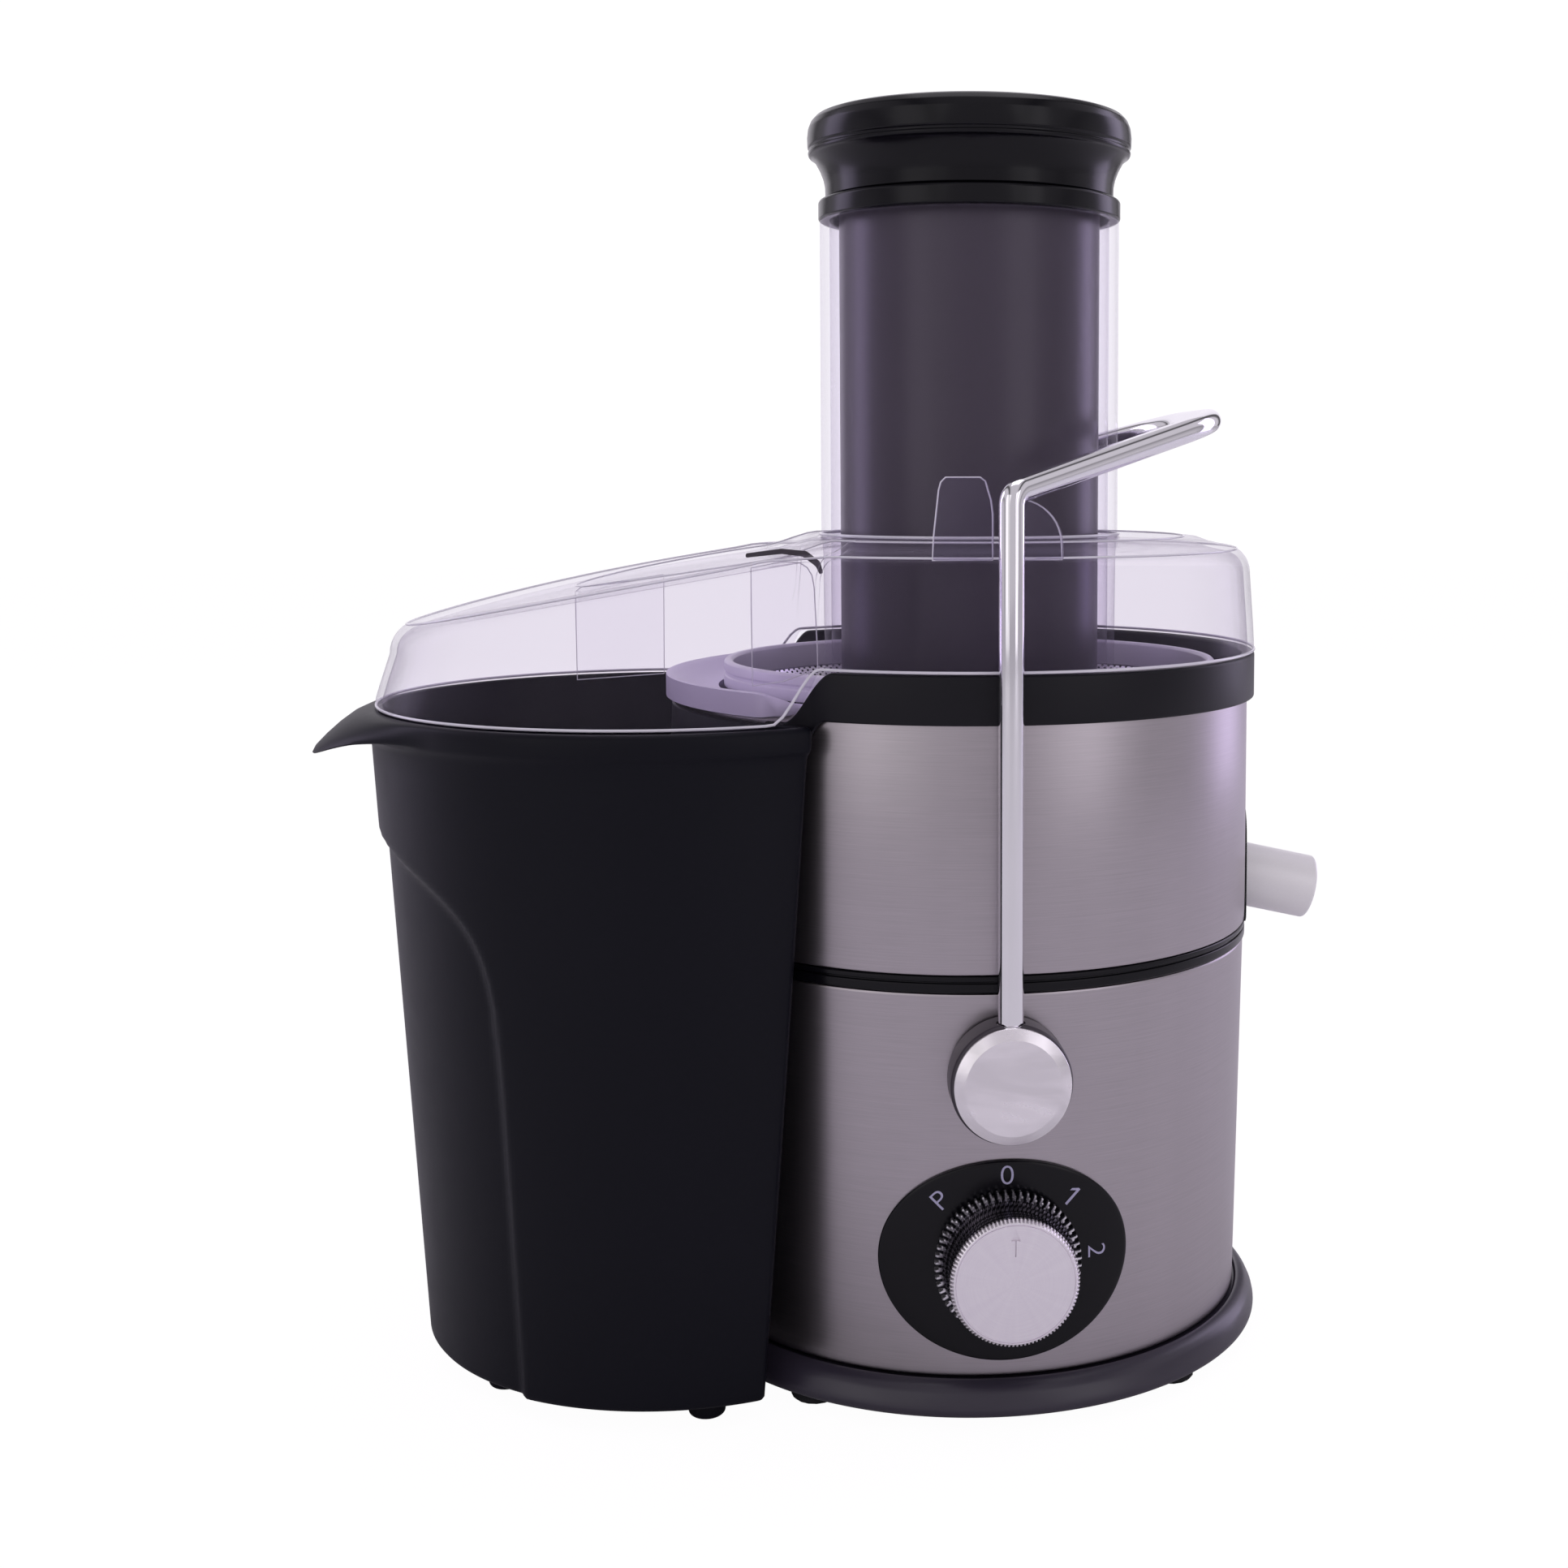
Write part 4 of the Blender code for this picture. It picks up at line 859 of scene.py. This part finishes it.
def make_lid():
    shell = joined_ends("lid_shell", lid_rings())
    settle(shell, "clear", "body", ["lid"], 40)
    chute = mm((43, 151), (44.8, 151), (45.4, 240), (46.0, 246.2), (46.0, 341.6), (43, 341.6))
    settle(spun("feed_chute", chute, 0.0004, 160), "chute_clear", "body")
    for name, side in (("front", -1), ("rear", 1)):
        near, far = side * 82.6 * MM, side * 85.9 * MM
        for part, outline in (("tab", tab_outline()), ("cam", cam_outline())):
            lug = traced(f"lug_{part}_{name}", outline, near, far, 0.0012)
            modified(lug, "BEVEL", width=0.0005, segments=2, limit_method="ANGLE",
                     angle_limit=radians(60))
            settle(lug, "lug_clear", "body")
            # Painted highlight: a pale bead along the lug's edge.
            edge = [(AXIS_X + x, near, z) for x, z in outline]
            bead(f"lug_{part}_{name}_edge", edge, 0.22 * MM)
    ring = mm((43, 341.9), (46.0, 341.9), (46.4, 342.3), (46.4, 347.1), (45.9, 347.8), (43, 347.8))
    settle(spun("chute_collar", ring, 0.0003, 160), "gloss_black", "body", ["chute_ring"])


def bead(name, points, radius):
    """A fine rounded ridge that follows a closed line, pale and half opaque: a painted highlight
    of a bright clear edge.
    """
    settle(swept(name, points, radius, 2, True), "bead", "body", (), 60)


def round_line(radius, z):
    turns = [FULL_TURN * k / 160 for k in range(160)]
    return [(AXIS_X + radius * cos(t), radius * sin(t), z) for t in turns]


def make_lid_beads():
    """Pale beads along the lid's edges as painted highlights: its foot, its shoulder, its ledge
    and the foot of the chute.
    """
    rings = lid_rings()
    foot = [(x * 0.999 + AXIS_X * 0.001, y * 0.999, z + 0.45 * MM)
            for x, y, z in (ring[FOOT] for ring in rings)]
    bead("lid_foot_bead", foot, 0.42 * MM)
    bead("lid_shoulder_bead", [ring[SHOULDER] for ring in rings], 0.34 * MM)
    bead("lid_ledge_bead", [ring[LEDGE] for ring in rings], 0.28 * MM)
    bead("chute_foot_bead", round_line(46.3 * MM, CROWN_Z + 3.2 * MM), 0.5 * MM)


def pane(name, outline, depth, side):
    """A thin clear wall inside the lid, with a fine pale bead round its edge as a painted
    highlight.
    """
    wall = traced(name, outline, side * depth, side * (depth + 0.8 * MM))
    settle(wall, "rib_clear", "body")
    line = [(AXIS_X + x, side * (depth + 0.4 * MM), z) for x, z in outline]
    bead(f"{name}_edge", line, 0.17 * MM)


def make_lid_ribs():
    """Walls moulded inside the lid, which steer the pulp down into the bin."""
    pocket = mm((-68.4, 205.5), (-68.6, 226), (-68.6, 238.6), (-60, 240.3), (-55.0, 240.0),
                (-52.9, 238.6), (-51.6, 236.4), (-51.0, 233), (-50.2, 215), (-50.1, 210.0),
                (-60, 206.6))
    pane("lid_pocket", pocket, 58 * MM, -1)
    cheek = mm((-118, 206), (-118.2, 231.2), (-116.6, 232.6), (-93.2, 236.0), (-93.4, 207.5))
    pane("pulp_cheek", cheek, 40 * MM, -1)
    slot = mm((-70, 241.4), (-60, 242.4), (-54, 241.6), (-50.4, 238.8), (-49.4, 236.6),
              (-48.4, 237.0), (-49.2, 240.2), (-53.0, 243.2), (-60, 243.9), (-70, 242.6))
    hood = traced("lid_hood_lip", slot, -56 * MM, -57.2 * MM, 0.0006)
    settle(hood, "charcoal", "body")


# ---------------------------------------------------------------- pusher

def make_pusher():
    tube = mm((0, 160), (36, 160), (39.0, 160.2), (39.9, 161.6), (40.1, 347.6), (38.8, 347.6),
              (38.6, 162.8), (0, 162.8))
    settle(spun("pusher_tube", tube, 0.0005, 160), "charcoal", "pusher",
           ["pusher_body"])
    cap = mm((43.6, 348.1), (44.2, 348.5), (44.3, 352), (44.8, 354.4), (45.8, 357.0),
             (47.2, 359.6), (48.4, 360.9), (49.3, 361.3), (49.5, 362.2), (49.0, 362.6),
             (49.0, 363.2), (49.6, 363.7), (49.7, 366.6), (49.4, 369.2), (48.6, 371.2),
             (47.2, 372.7), (45.2, 373.4), (42.6, 373.3), (40.6, 372.3), (39.2, 371.7),
             (0, 371.5), (0, 369), (36, 369), (36, 338), (38.2, 338), (38.4, 348.1))
    settle(spun("pusher_handle", cap, 0.00035, 192), "gloss_black", "pusher",
           ["pusher_cap"])


# ---------------------------------------------------------------- pulp bin

BIN_LOW_Z = 6.0 * MM
BIN_TOP_Z = 195.5 * MM
BIN_WALL = 2.4 * MM
LIP_REACH = 15.3 * MM
LIP = ((187.2, 0.15, 0.02, 0.0), (188.2, 0.60, 0.10, -0.2), (188.8, 0.95, 0.28, 0.2),
       (189.2, 1.10, 0.50, 1.2), (189.5, 1.15, 0.72, 3.2), (189.8, 1.20, 0.90, 5.6),
       (190.2, 1.20, 0.985, 7.3), (190.7, 1.20, 1.0, 7.6), (191.4, 1.20, 0.95, 6.9),
       (192.4, 1.15, 0.76, 4.9), (193.4, 1.05, 0.52, 2.6), (194.4, 0.80, 0.28, 0.8),
       (195.1, 0.40, 0.10, 0.1))
GRIP_DEPTH = 2.4 * MM
GRIP_TOP = 162
GRIP_SIDE = 58
GRIP_SWEEP = 45
SWEEP_FALL = 11
SIDE_PER_DEGREE = 1.5
CREASE = 4.8


def grip_depth(z, turn):
    """Finger recess: it widens downwards under a crease that sweeps round from the lip."""
    height = z / MM
    sweep = GRIP_SWEEP * exp(-max(GRIP_TOP - 1 - height, 0) / SWEEP_FALL)
    slope = sweep / SWEEP_FALL * SIDE_PER_DEGREE
    inside = (GRIP_SIDE - sweep - turn) * SIDE_PER_DEGREE / sqrt(1 + slope * slope)
    return GRIP_DEPTH * smooth(inside / CREASE) * smooth((GRIP_TOP - height) / 7)


def lip_share(turn):
    """How far the pouring lip stands out, from 0 at its sides to 1 at its middle."""
    return smooth((46 - turn) / 38)


def bin_ring(z, grow=0.0, inward=0.0, lip=0.0, droop=0.0):
    """One level outline of the bin: a round side, two rounded corners and a hollow at the body."""
    share = (z - BIN_LOW_Z) / (BIN_TOP_Z - BIN_LOW_Z)
    middle_x = (-91.0 - 5.0 * share) * MM
    round_r = (79.2 + 6.7 * share) * MM + grow - inward
    clear_r = (99.0 - 9.2 * share) * MM + inward
    corner_r = max(2.2 * MM - inward, 0.6 * MM)
    far, near = round_r - corner_r, clear_r + corner_r
    corner_x = (near * near - far * far + middle_x * middle_x) / (2 * middle_x)
    corner_y = sqrt(near * near - corner_x * corner_x)
    end_turn = atan2(corner_y, corner_x - middle_x)
    hollow_turn = atan2(corner_y, corner_x)
    inner_turn = pi - hollow_turn
    points = []
    for k in range(241):
        turn = end_turn + (FULL_TURN - 2 * end_turn) * k / 240
        away = abs(degrees(turn) - 180)
        r = round_r + lip * lip_share(away) - grip_depth(z, away)
        drop = droop * lip_share(away) ** 2.2
        points.append((middle_x + r * cos(turn), r * sin(turn), z - drop))
    for k in range(1, 8):
        turn = -end_turn + (inner_turn + end_turn) * k / 8
        points.append((corner_x + corner_r * cos(turn), -corner_y + corner_r * sin(turn), z))
    for k in range(25):
        turn = -hollow_turn - 2 * (pi - hollow_turn) * k / 24
        points.append((clear_r * cos(turn), clear_r * sin(turn), z))
    for k in range(7, 0, -1):
        turn = end_turn - (inner_turn + end_turn) * k / 8
        points.append((corner_x + corner_r * cos(turn), corner_y + corner_r * sin(turn), z))
    return [(AXIS_X + x, y, level) for x, y, level in points]


def make_bin():
    rings = [bin_ring(BIN_LOW_Z, inward=1.3 * MM), bin_ring(6.3 * MM, inward=0.5 * MM),
             bin_ring(7.0 * MM)]
    heights = [8 + 10 * k for k in range(12)] + [120 + 1.5 * k for k in range(30)]
    heights += [165, 170, 176, 182, 186]
    rings += [bin_ring(z * MM) for z in heights]
    rings += [bin_ring(z * MM, grow * MM, 0, LIP_REACH * reach, droop * MM)
              for z, grow, reach, droop in LIP]
    rings += [bin_ring(BIN_TOP_Z, inward=0.4 * MM),
              bin_ring(BIN_TOP_Z, inward=BIN_WALL - 0.4 * MM),
              bin_ring(195.1 * MM, inward=BIN_WALL)]
    heights = [182, 165, 160, 155, 150, 140, 130, 110, 60, 12]
    rings += [bin_ring(z * MM, inward=BIN_WALL) for z in heights]
    rings += [bin_ring(9.2 * MM, inward=BIN_WALL + 0.9 * MM),
              bin_ring(8.4 * MM, inward=BIN_WALL + 2.5 * MM)]
    tub = stacked("bin_tub", rings)
    settle(tub, "bin_black", "pulp_container", ["pulp_bin"], 38)
    stud = mm((0, 0), (4.4, 0), (5.2, 0.8), (5.4, 5.9), (0, 5.9))
    for k, (x, y) in enumerate(((-83, -67.5), (-83, 67.5), (-141, -42), (-141, 42))):
        foot = placed(spun(f"bin_stud_{k + 1}", stud, 0.0007, 48),
                      Matrix.Translation((x * MM, y * MM, 0)))
        settle(foot, "bin_black", "pulp_container")
    for name, side in (("front", -1), ("rear", 1)):
        hook = traced(f"bin_hook_{name}", mm((-58.5, 184.5), (-59.5, 192.4), (-54.4, 192.4),
                                             (-53.4, 188.8), (-55.6, 188.2), (-56.4, 184.5)),
                      side * 72.4 * MM, side * 75.6 * MM, 0.0005)
        settle(hook, "bin_black", "pulp_container")


# ---------------------------------------------------------------- bail and its hubs

BAIL_Y = 92.5 * MM
BAIL_TOP_Z = 259.8 * MM
BAIL_REACH = 71.5 * MM
BAIL_RISE = 0.297
BAIL_ROD_R = 3.5 * MM


def round_bend(before, corner, after, radius, steps):
    """Points of a round bend that replaces a corner between two straight runs."""
    back, ahead = (before - corner).normalized(), (after - corner).normalized()
    angle = back.angle(ahead)
    start = corner + back * (radius / tan(angle / 2))
    middle = corner + (back + ahead).normalized() * (radius / sin(angle / 2))
    axis = back.cross(ahead).normalized()
    turns = [Matrix.Rotation(-(pi - angle) * k / steps, 3, axis) for k in range(steps + 1)]
    return [middle + turn @ (start - middle) for turn in turns]


def make_bail():
    foot = Vector((0, -BAIL_Y, 107.2 * MM))
    kink = Vector((0, -BAIL_Y, BAIL_TOP_Z))
    corner = Vector((BAIL_REACH, -34 * MM, BAIL_TOP_Z + BAIL_RISE * BAIL_REACH))
    grip = Vector((BAIL_REACH, 0, corner.z))
    half = [foot, foot.lerp(kink, 0.5)]
    half += round_bend(foot, kink, corner, 4.3 * MM, 14)
    half += round_bend(kink, corner, grip, 40 * MM, 26)
    half.append(grip)
    path = half + [Vector((p.x, -p.y, p.z)) for p in reversed(half[:-1])]
    points = [(p.x + AXIS_X, p.y, p.z) for p in path]
    rod = swept("bail_rod", points, BAIL_ROD_R, 14, False)
    settle(rod, "chrome", "bail_body", ["bail"], 50)


def make_hubs():
    boss = mm((4.3, 86.1), (16.4, 86.1), (16.8, 86.6), (16.8, 95.2), (16.2, 96), (0, 96),
              (0, 93.4), (4.3, 93.4))
    cap = mm((0, 96.3), (15.7, 96.3), (16.1, 96.6), (16.1, 97.2), (16.0, 97.35), (13.3, 98.9),
             (13.2, 98.95), (0, 99.0))
    cuff = mm((3.5, 0), (3.95, 0), (3.95, 0.9), (3.5, 1.1))
    for name, side in (("front", -1), ("rear", 1)):
        hub = placed(spun(f"hub_boss_{name}", boss, 0.0004, 120), facing(side, PIVOT_Z))
        channel = placed(spun("channel", mm((0, 0), (4.0, 0), (4.0, 20), (0, 20)), 0, 40),
                         Matrix.Translation((0, side * BAIL_Y, 106.5 * MM)))
        cut(hub, channel)
        settle(hub, "charcoal", "bail_body", [f"bail_hub_{name}"])
        disc = placed(spun(f"hub_disc_{name}", cap, 0, 160), facing(side, PIVOT_Z))
        settle(disc, "hub_chrome", "bail_body", [f"bail_hub_cap_{name}"], 16)
        sleeve = placed(spun(f"bail_cuff_{name}", cuff, 0.0001, 60),
                        Matrix.Translation((0, side * BAIL_Y, 115.0 * MM)))
        settle(sleeve, "chrome", "bail_body")


# ---------------------------------------------------------------- dial and knob

DIAL_Z = KNOB_Z - 0.5 * MM
DIAL_ARC = radians(24.5)
DIAL_HIGH = 28.7 * MM
FRONT_R = 85
MARK_HALF = 0.04 * MM
MARK_WIDE = 1.08


def wrapped(across, z, lift):
    """A point on the lower panel: its distance round the front, its height and its lift."""
    radius = steel_r(z) + lift
    around = across / FRONT_R / MM
    return (AXIS_X + radius * sin(around), -radius * cos(around), z)


def dial_ring(share, lift):
    points = []
    for k in range(160):
        turn = FULL_TURN * k / 160
        across = DIAL_ARC * FRONT_R * MM * share * cos(turn)
        points.append(wrapped(across, DIAL_Z + DIAL_HIGH * share * sin(turn), lift))
    return points


def letter(text, height):
    """A thin flat letter, lying on its back about its middle."""
    bpy.ops.object.text_add(location=(0, 0, 0))
    label = bpy.context.object
    label.data.body = text
    label.data.align_x = "CENTER"
    label.data.align_y = "CENTER"
    label.data.size = height * 1.38
    label.data.extrude = MARK_HALF
    label.data.offset = -0.00009
    label.data.resolution_u = 6
    bpy.ops.object.convert(target="MESH")
    label = bpy.context.object
    label.location = (0, 0, 0)
    return label


def figure_one(height):
    """The figure 1: an upright stroke with a slanting flag."""
    shape = [(0.02, -0.5), (0.14, -0.5), (0.14, 0.5), (0.04, 0.5), (-0.22, 0.27), (-0.22, 0.14),
             (0.02, 0.34)]
    rings = [[(x * height, y * height, z) for x, y in shape] for z in (-MARK_HALF, MARK_HALF)]
    return stacked("figure_one", rings)


def dial_mark(name, text, turn, radius, height):
    """A printed mark of the dial, standing upright at its place round the knob."""
    deselect()
    label = figure_one(height) if text == "1" else letter(text, height)
    label.name = name
    label.data.name = name
    spread = Matrix.Rotation(-turn, 3, "Z")
    middle = Vector((radius * MARK_WIDE * sin(turn), radius * cos(turn), 0))
    for vert in label.data.vertices:
        flat = spread @ Vector((vert.co.x * MARK_WIDE, vert.co.y, 0)) + middle
        vert.co = wrapped(flat.x, KNOB_Z + flat.y, 1.5 * MM + vert.co.z)
    bpy.context.view_layer.objects.active = label
    bpy.ops.object.mode_set(mode="EDIT")
    close_mesh()
    settle(label, "mark", "body")


def make_dial():
    section = ((0.13, 0.3), (0.5, 0.3), (0.99, 0.3), (1.0, 0.45), (1.0, 0.9), (0.996, 1.15),
               (0.985, 1.34), (0.96, 1.4), (0.8, 1.4), (0.5, 1.4), (0.13, 1.4))
    rings = [dial_ring(share, lift * MM) for share, lift in section]
    plate = joined_ends("dial_escutcheon", rings)
    settle(plate, "gloss_black", "body", ["dial_plate"], 40)
    marks = (("mark_pulse", "P", -45), ("mark_off", "0", 0), ("mark_one", "1", 45),
             ("mark_two", "2", 90))
    for name, text, turn in marks:
        dial_mark(name, text, radians(turn), 24.0 * MM, 5.7 * MM)


def fluted(name, section, teeth, depth, share):
    """Stacks toothed rings of (radius, height, depth share) into a fluted cone or sleeve."""
    rings = []
    for radius, height, strength in section:
        ring = []
        for k in range(teeth):
            for offset, drop in ((-share, 1), (-share + 0.08, 0), (share - 0.08, 0), (share, 1)):
                turn = FULL_TURN * (k + 0.5 + offset) / teeth
                r = (radius - depth * drop * strength) * MM
                ring.append((AXIS_X + r * cos(turn), r * sin(turn), height * MM))
        rings.append(ring)
    return joined_ends(name, rings)


def make_knob():
    outer = [(17.9, 86.6, 0), (20.4, 86.6, 1), (20.5, 87.0, 1), (20.5, 88.6, 1), (20.2, 89.0, 1),
             (19.0, 89.0, 0), (17.9, 88.8, 0)]
    ring = fluted("knob_skirt", outer, SKIRT_TEETH, 1.1, 0.30)
    settle(placed(ring, facing(-1, KNOB_Z)), "skirt_teeth", "speed_knob", ["knob_body"],
           30)
    inner = [(3.6, 87.2, 0), (17.6, 87.2, 0), (18.7, 89.3, 1), (18.3, 91.0, 1), (17.0, 93.2, 1),
             (16.6, 99.6, 1), (15.4, 99.7, 0), (3.6, 99.7, 0)]
    cone = fluted("knob_flutes", inner, FINE_TEETH, 0.5, 0.28)
    settle(placed(cone, facing(-1, KNOB_Z)), "fine_teeth", "speed_knob", (), 30)
    face = [(0.02, 99.9, 0), (16.4, 99.9, 0), (17.5, 100.2, 1), (17.75, 100.5, 1),
            (17.75, 101.5, 1), (17.6, 101.75, 0.8), (16.85, 102.4, 0), (16.7, 102.5, 0),
            (16.45, 102.5, 0), (16.35, 102.2, 0), (16.2, 102.2, 0), (16.1, 102.5, 0),
            (8, 102.5, 0), (0.02, 102.5, 0)]
    disc = fluted("knob_disc", face, 100, 0.5, 0.28)
    placed(disc, facing(-1, KNOB_Z))
    arrow = [(-0.16, 7.6), (-0.20, 12.0), (-1.3, 11.8), (0, 15.4), (1.3, 11.8), (0.20, 12.0),
             (0.16, 7.6)]
    outline = [(x * MM, KNOB_Z + up * MM) for x, up in arrow]
    cut(disc, traced("pointer_cut", outline, -104 * MM, -101.6 * MM))
    settle(disc, "knob_silver", "speed_knob", ["knob_face"], 18)


# ---------------------------------------------------------------- kept CAD nodes

def finish_cad_nodes():
    """Gives the nodes that keep their shape the finish of their real material."""
    groups = {
        "black": ("bottom_plate", "housing", "interlock_switch"),
        "rubber": ("foot_front_left", "foot_front_right", "foot_rear_left", "foot_rear_right",
                   "cord_gland", "motor_mount_left", "motor_mount_right", "shaft_seal"),
        "charcoal": ("basket_hub", "drive_coupling"),
        "sieve": ("grater_disc",),
        "chrome": ("bearing_upper", "bearing_lower"),
        "white": ("rotary_switch", "brush_holder_left", "brush_holder_right", "cooling_fan"),
        "copper": ("field_winding_upper", "field_winding_lower", "commutator"),
        "iron": ("stator", "motor_bracket_upper", "motor_bracket_lower", "motor_bolt_left",
                 "motor_bolt_right", "armature_core", "motor_shaft", "pivot_pin_front",
                 "pivot_pin_rear", "knob_spindle"),
        "carbon": ("carbon_brush_left", "carbon_brush_right"),
    }
    for finish, names in groups.items():
        for name in names:
            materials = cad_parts[name].data.materials
            materials.clear()
            materials.append(FINISHES[finish])


# ---------------------------------------------------------------- studio

def stage_white():
    """Pale floor that reads white to the eye and gives back an even, softer light."""
    f = Finish("stage_white")
    place = f.node("TexCoord", out=3)
    cloud = f.noise(place, 2.0, 2.0, 0.5)
    shade = f.mix(cloud, colour(0.80, 0.795, 0.81), colour(0.86, 0.855, 0.87))
    seen = f.node("LightPath", out=0)
    lit = f.principled({"Base Color": shade, "Roughness": 0.9, "Specular IOR Level": 0.1})
    glow = f.node("Emission", None, {0: colour(1.0, 0.995, 1.0), 1: 1.05})
    return f.done(f.node("MixShader", None, {0: seen * 0.93, 1: lit, 2: glow}))


def make_stage():
    """A pale round floor."""
    deselect()
    bpy.ops.mesh.primitive_circle_add(vertices=96, radius=5, fill_type="NGON",
                                      location=(0, 0, -0.0002))
    floor = named("studio_floor")
    bpy.ops.mesh.inset(thickness=1.0)
    bpy.ops.object.mode_set(mode="OBJECT")
    floor.data.materials.append(stage_white())


def softbox(name, place, aim, size, power, tone):
    data = bpy.data.lights.new(name, "AREA")
    data.shape = "RECTANGLE"
    data.size, data.size_y = size
    data.energy = power
    data.color = tone
    lamp = bpy.data.objects.new(name, data)
    bpy.context.scene.collection.objects.link(lamp)
    lamp.location = place
    lamp.rotation_euler = (Vector(aim) - Vector(place)).to_track_quat("-Z", "Y").to_euler()
    return lamp


# How bright the room's walls are, by how far to the side a ray looks.
WALLS = ((0.0, 0.92), (0.30, 0.94), (0.44, 0.80), (0.50, 0.16), (0.57, 0.16), (0.64, 1.0),
         (0.88, 1.0), (0.93, 0.45), (1.0, 0.9))


def make_lights():
    """Soft lamps round a bright room whose walls have two narrow dark bands a side."""
    world = bpy.data.worlds.new("studio_air")
    world.use_nodes = True
    tree = world.node_tree

    def piece(kind, *links):
        made = tree.nodes.new("ShaderNode" + kind)
        for slot, source in enumerate(links):
            if source is not None:
                tree.links.new(source, made.inputs[slot])
        return made

    towards = piece("TexCoord").outputs[0]
    across = piece("Math", piece("SeparateXYZ", towards).outputs[0])
    across.operation = "ABSOLUTE"
    bands = piece("ValToRGB", across.outputs[0])
    ramp = bands.color_ramp
    while len(ramp.elements) < len(WALLS):
        ramp.elements.new(0.5)
    for element, (place, level) in zip(ramp.elements, WALLS):
        element.position = place
        element.color = (level * 0.97, level * 0.92, level, 1.0)
    air = tree.nodes["Background"]
    tree.links.new(bands.outputs[0], air.inputs[0])
    air.inputs["Strength"].default_value = 0.62
    backdrop = piece("Background")
    backdrop.inputs["Color"].default_value = (1.0, 0.995, 1.0, 1.0)
    backdrop.inputs["Strength"].default_value = 1.05
    both = piece("MixShader", piece("LightPath").outputs[0], air.outputs[0], backdrop.outputs[0])
    tree.links.new(both.outputs[0], tree.nodes["World Output"].inputs[0])
    bpy.context.scene.world = world
    middle = (AXIS_X - 0.02, 0, 0.18)
    softbox("front_left_box", (-1.4, -1.6, 0.9), middle, (1.5, 1.8), 4.5, (1.0, 0.985, 0.98))
    softbox("front_right_box", (1.3, -1.7, 0.8), middle, (0.9, 1.6), 4.0, (0.98, 0.95, 1.0))
    softbox("left_strip", (-1.5, 0.75, 0.5), middle, (0.6, 1.6), 6.0, (0.78, 0.68, 1.0))
    softbox("right_strip", (1.5, 0.75, 0.5), middle, (0.6, 1.6), 6.0, (0.78, 0.68, 1.0))
    softbox("back_box", (0.0, 1.9, 0.9), middle, (2.4, 1.6), 5.0, (0.95, 0.92, 1.0))
    softbox("top_box", (0.1, 0.2, 1.9), middle, (1.2, 1.0), 4.0, (0.97, 0.95, 1.0))


def make_camera():
    """The camera stands a little left of the front, 0.63 m away, tipped 4.44 degrees down."""
    lens_data = bpy.data.cameras.new("camera")
    lens_data.sensor_width = 36
    lens_data.lens = 46.15
    lens_data.shift_x = -0.1182
    lens_data.shift_y = -0.1008
    lens_data.clip_start = 0.01
    camera = bpy.data.objects.new("camera", lens_data)
    bpy.context.scene.collection.objects.link(camera)
    turn, dip = radians(7), radians(4.44)
    camera.location = (AXIS_X - 0.0764, -0.6223, 0.2659)
    gaze = Vector((sin(turn) * cos(dip), cos(turn) * cos(dip), -sin(dip)))
    camera.rotation_euler = gaze.to_track_quat("-Z", "Y").to_euler()
    bpy.context.scene.camera = camera


make_camera()
make_base()
make_panels()
make_spout()
make_collar()
make_bowl()
make_basket()
make_lid()
make_lid_beads()
make_lid_ribs()
make_pusher()
make_bin()
make_bail()
make_hubs()
make_dial()
make_knob()
finish_cad_nodes()
make_stage()
make_lights()
bpy.context.scene.view_settings.view_transform = "Standard"
deselect()
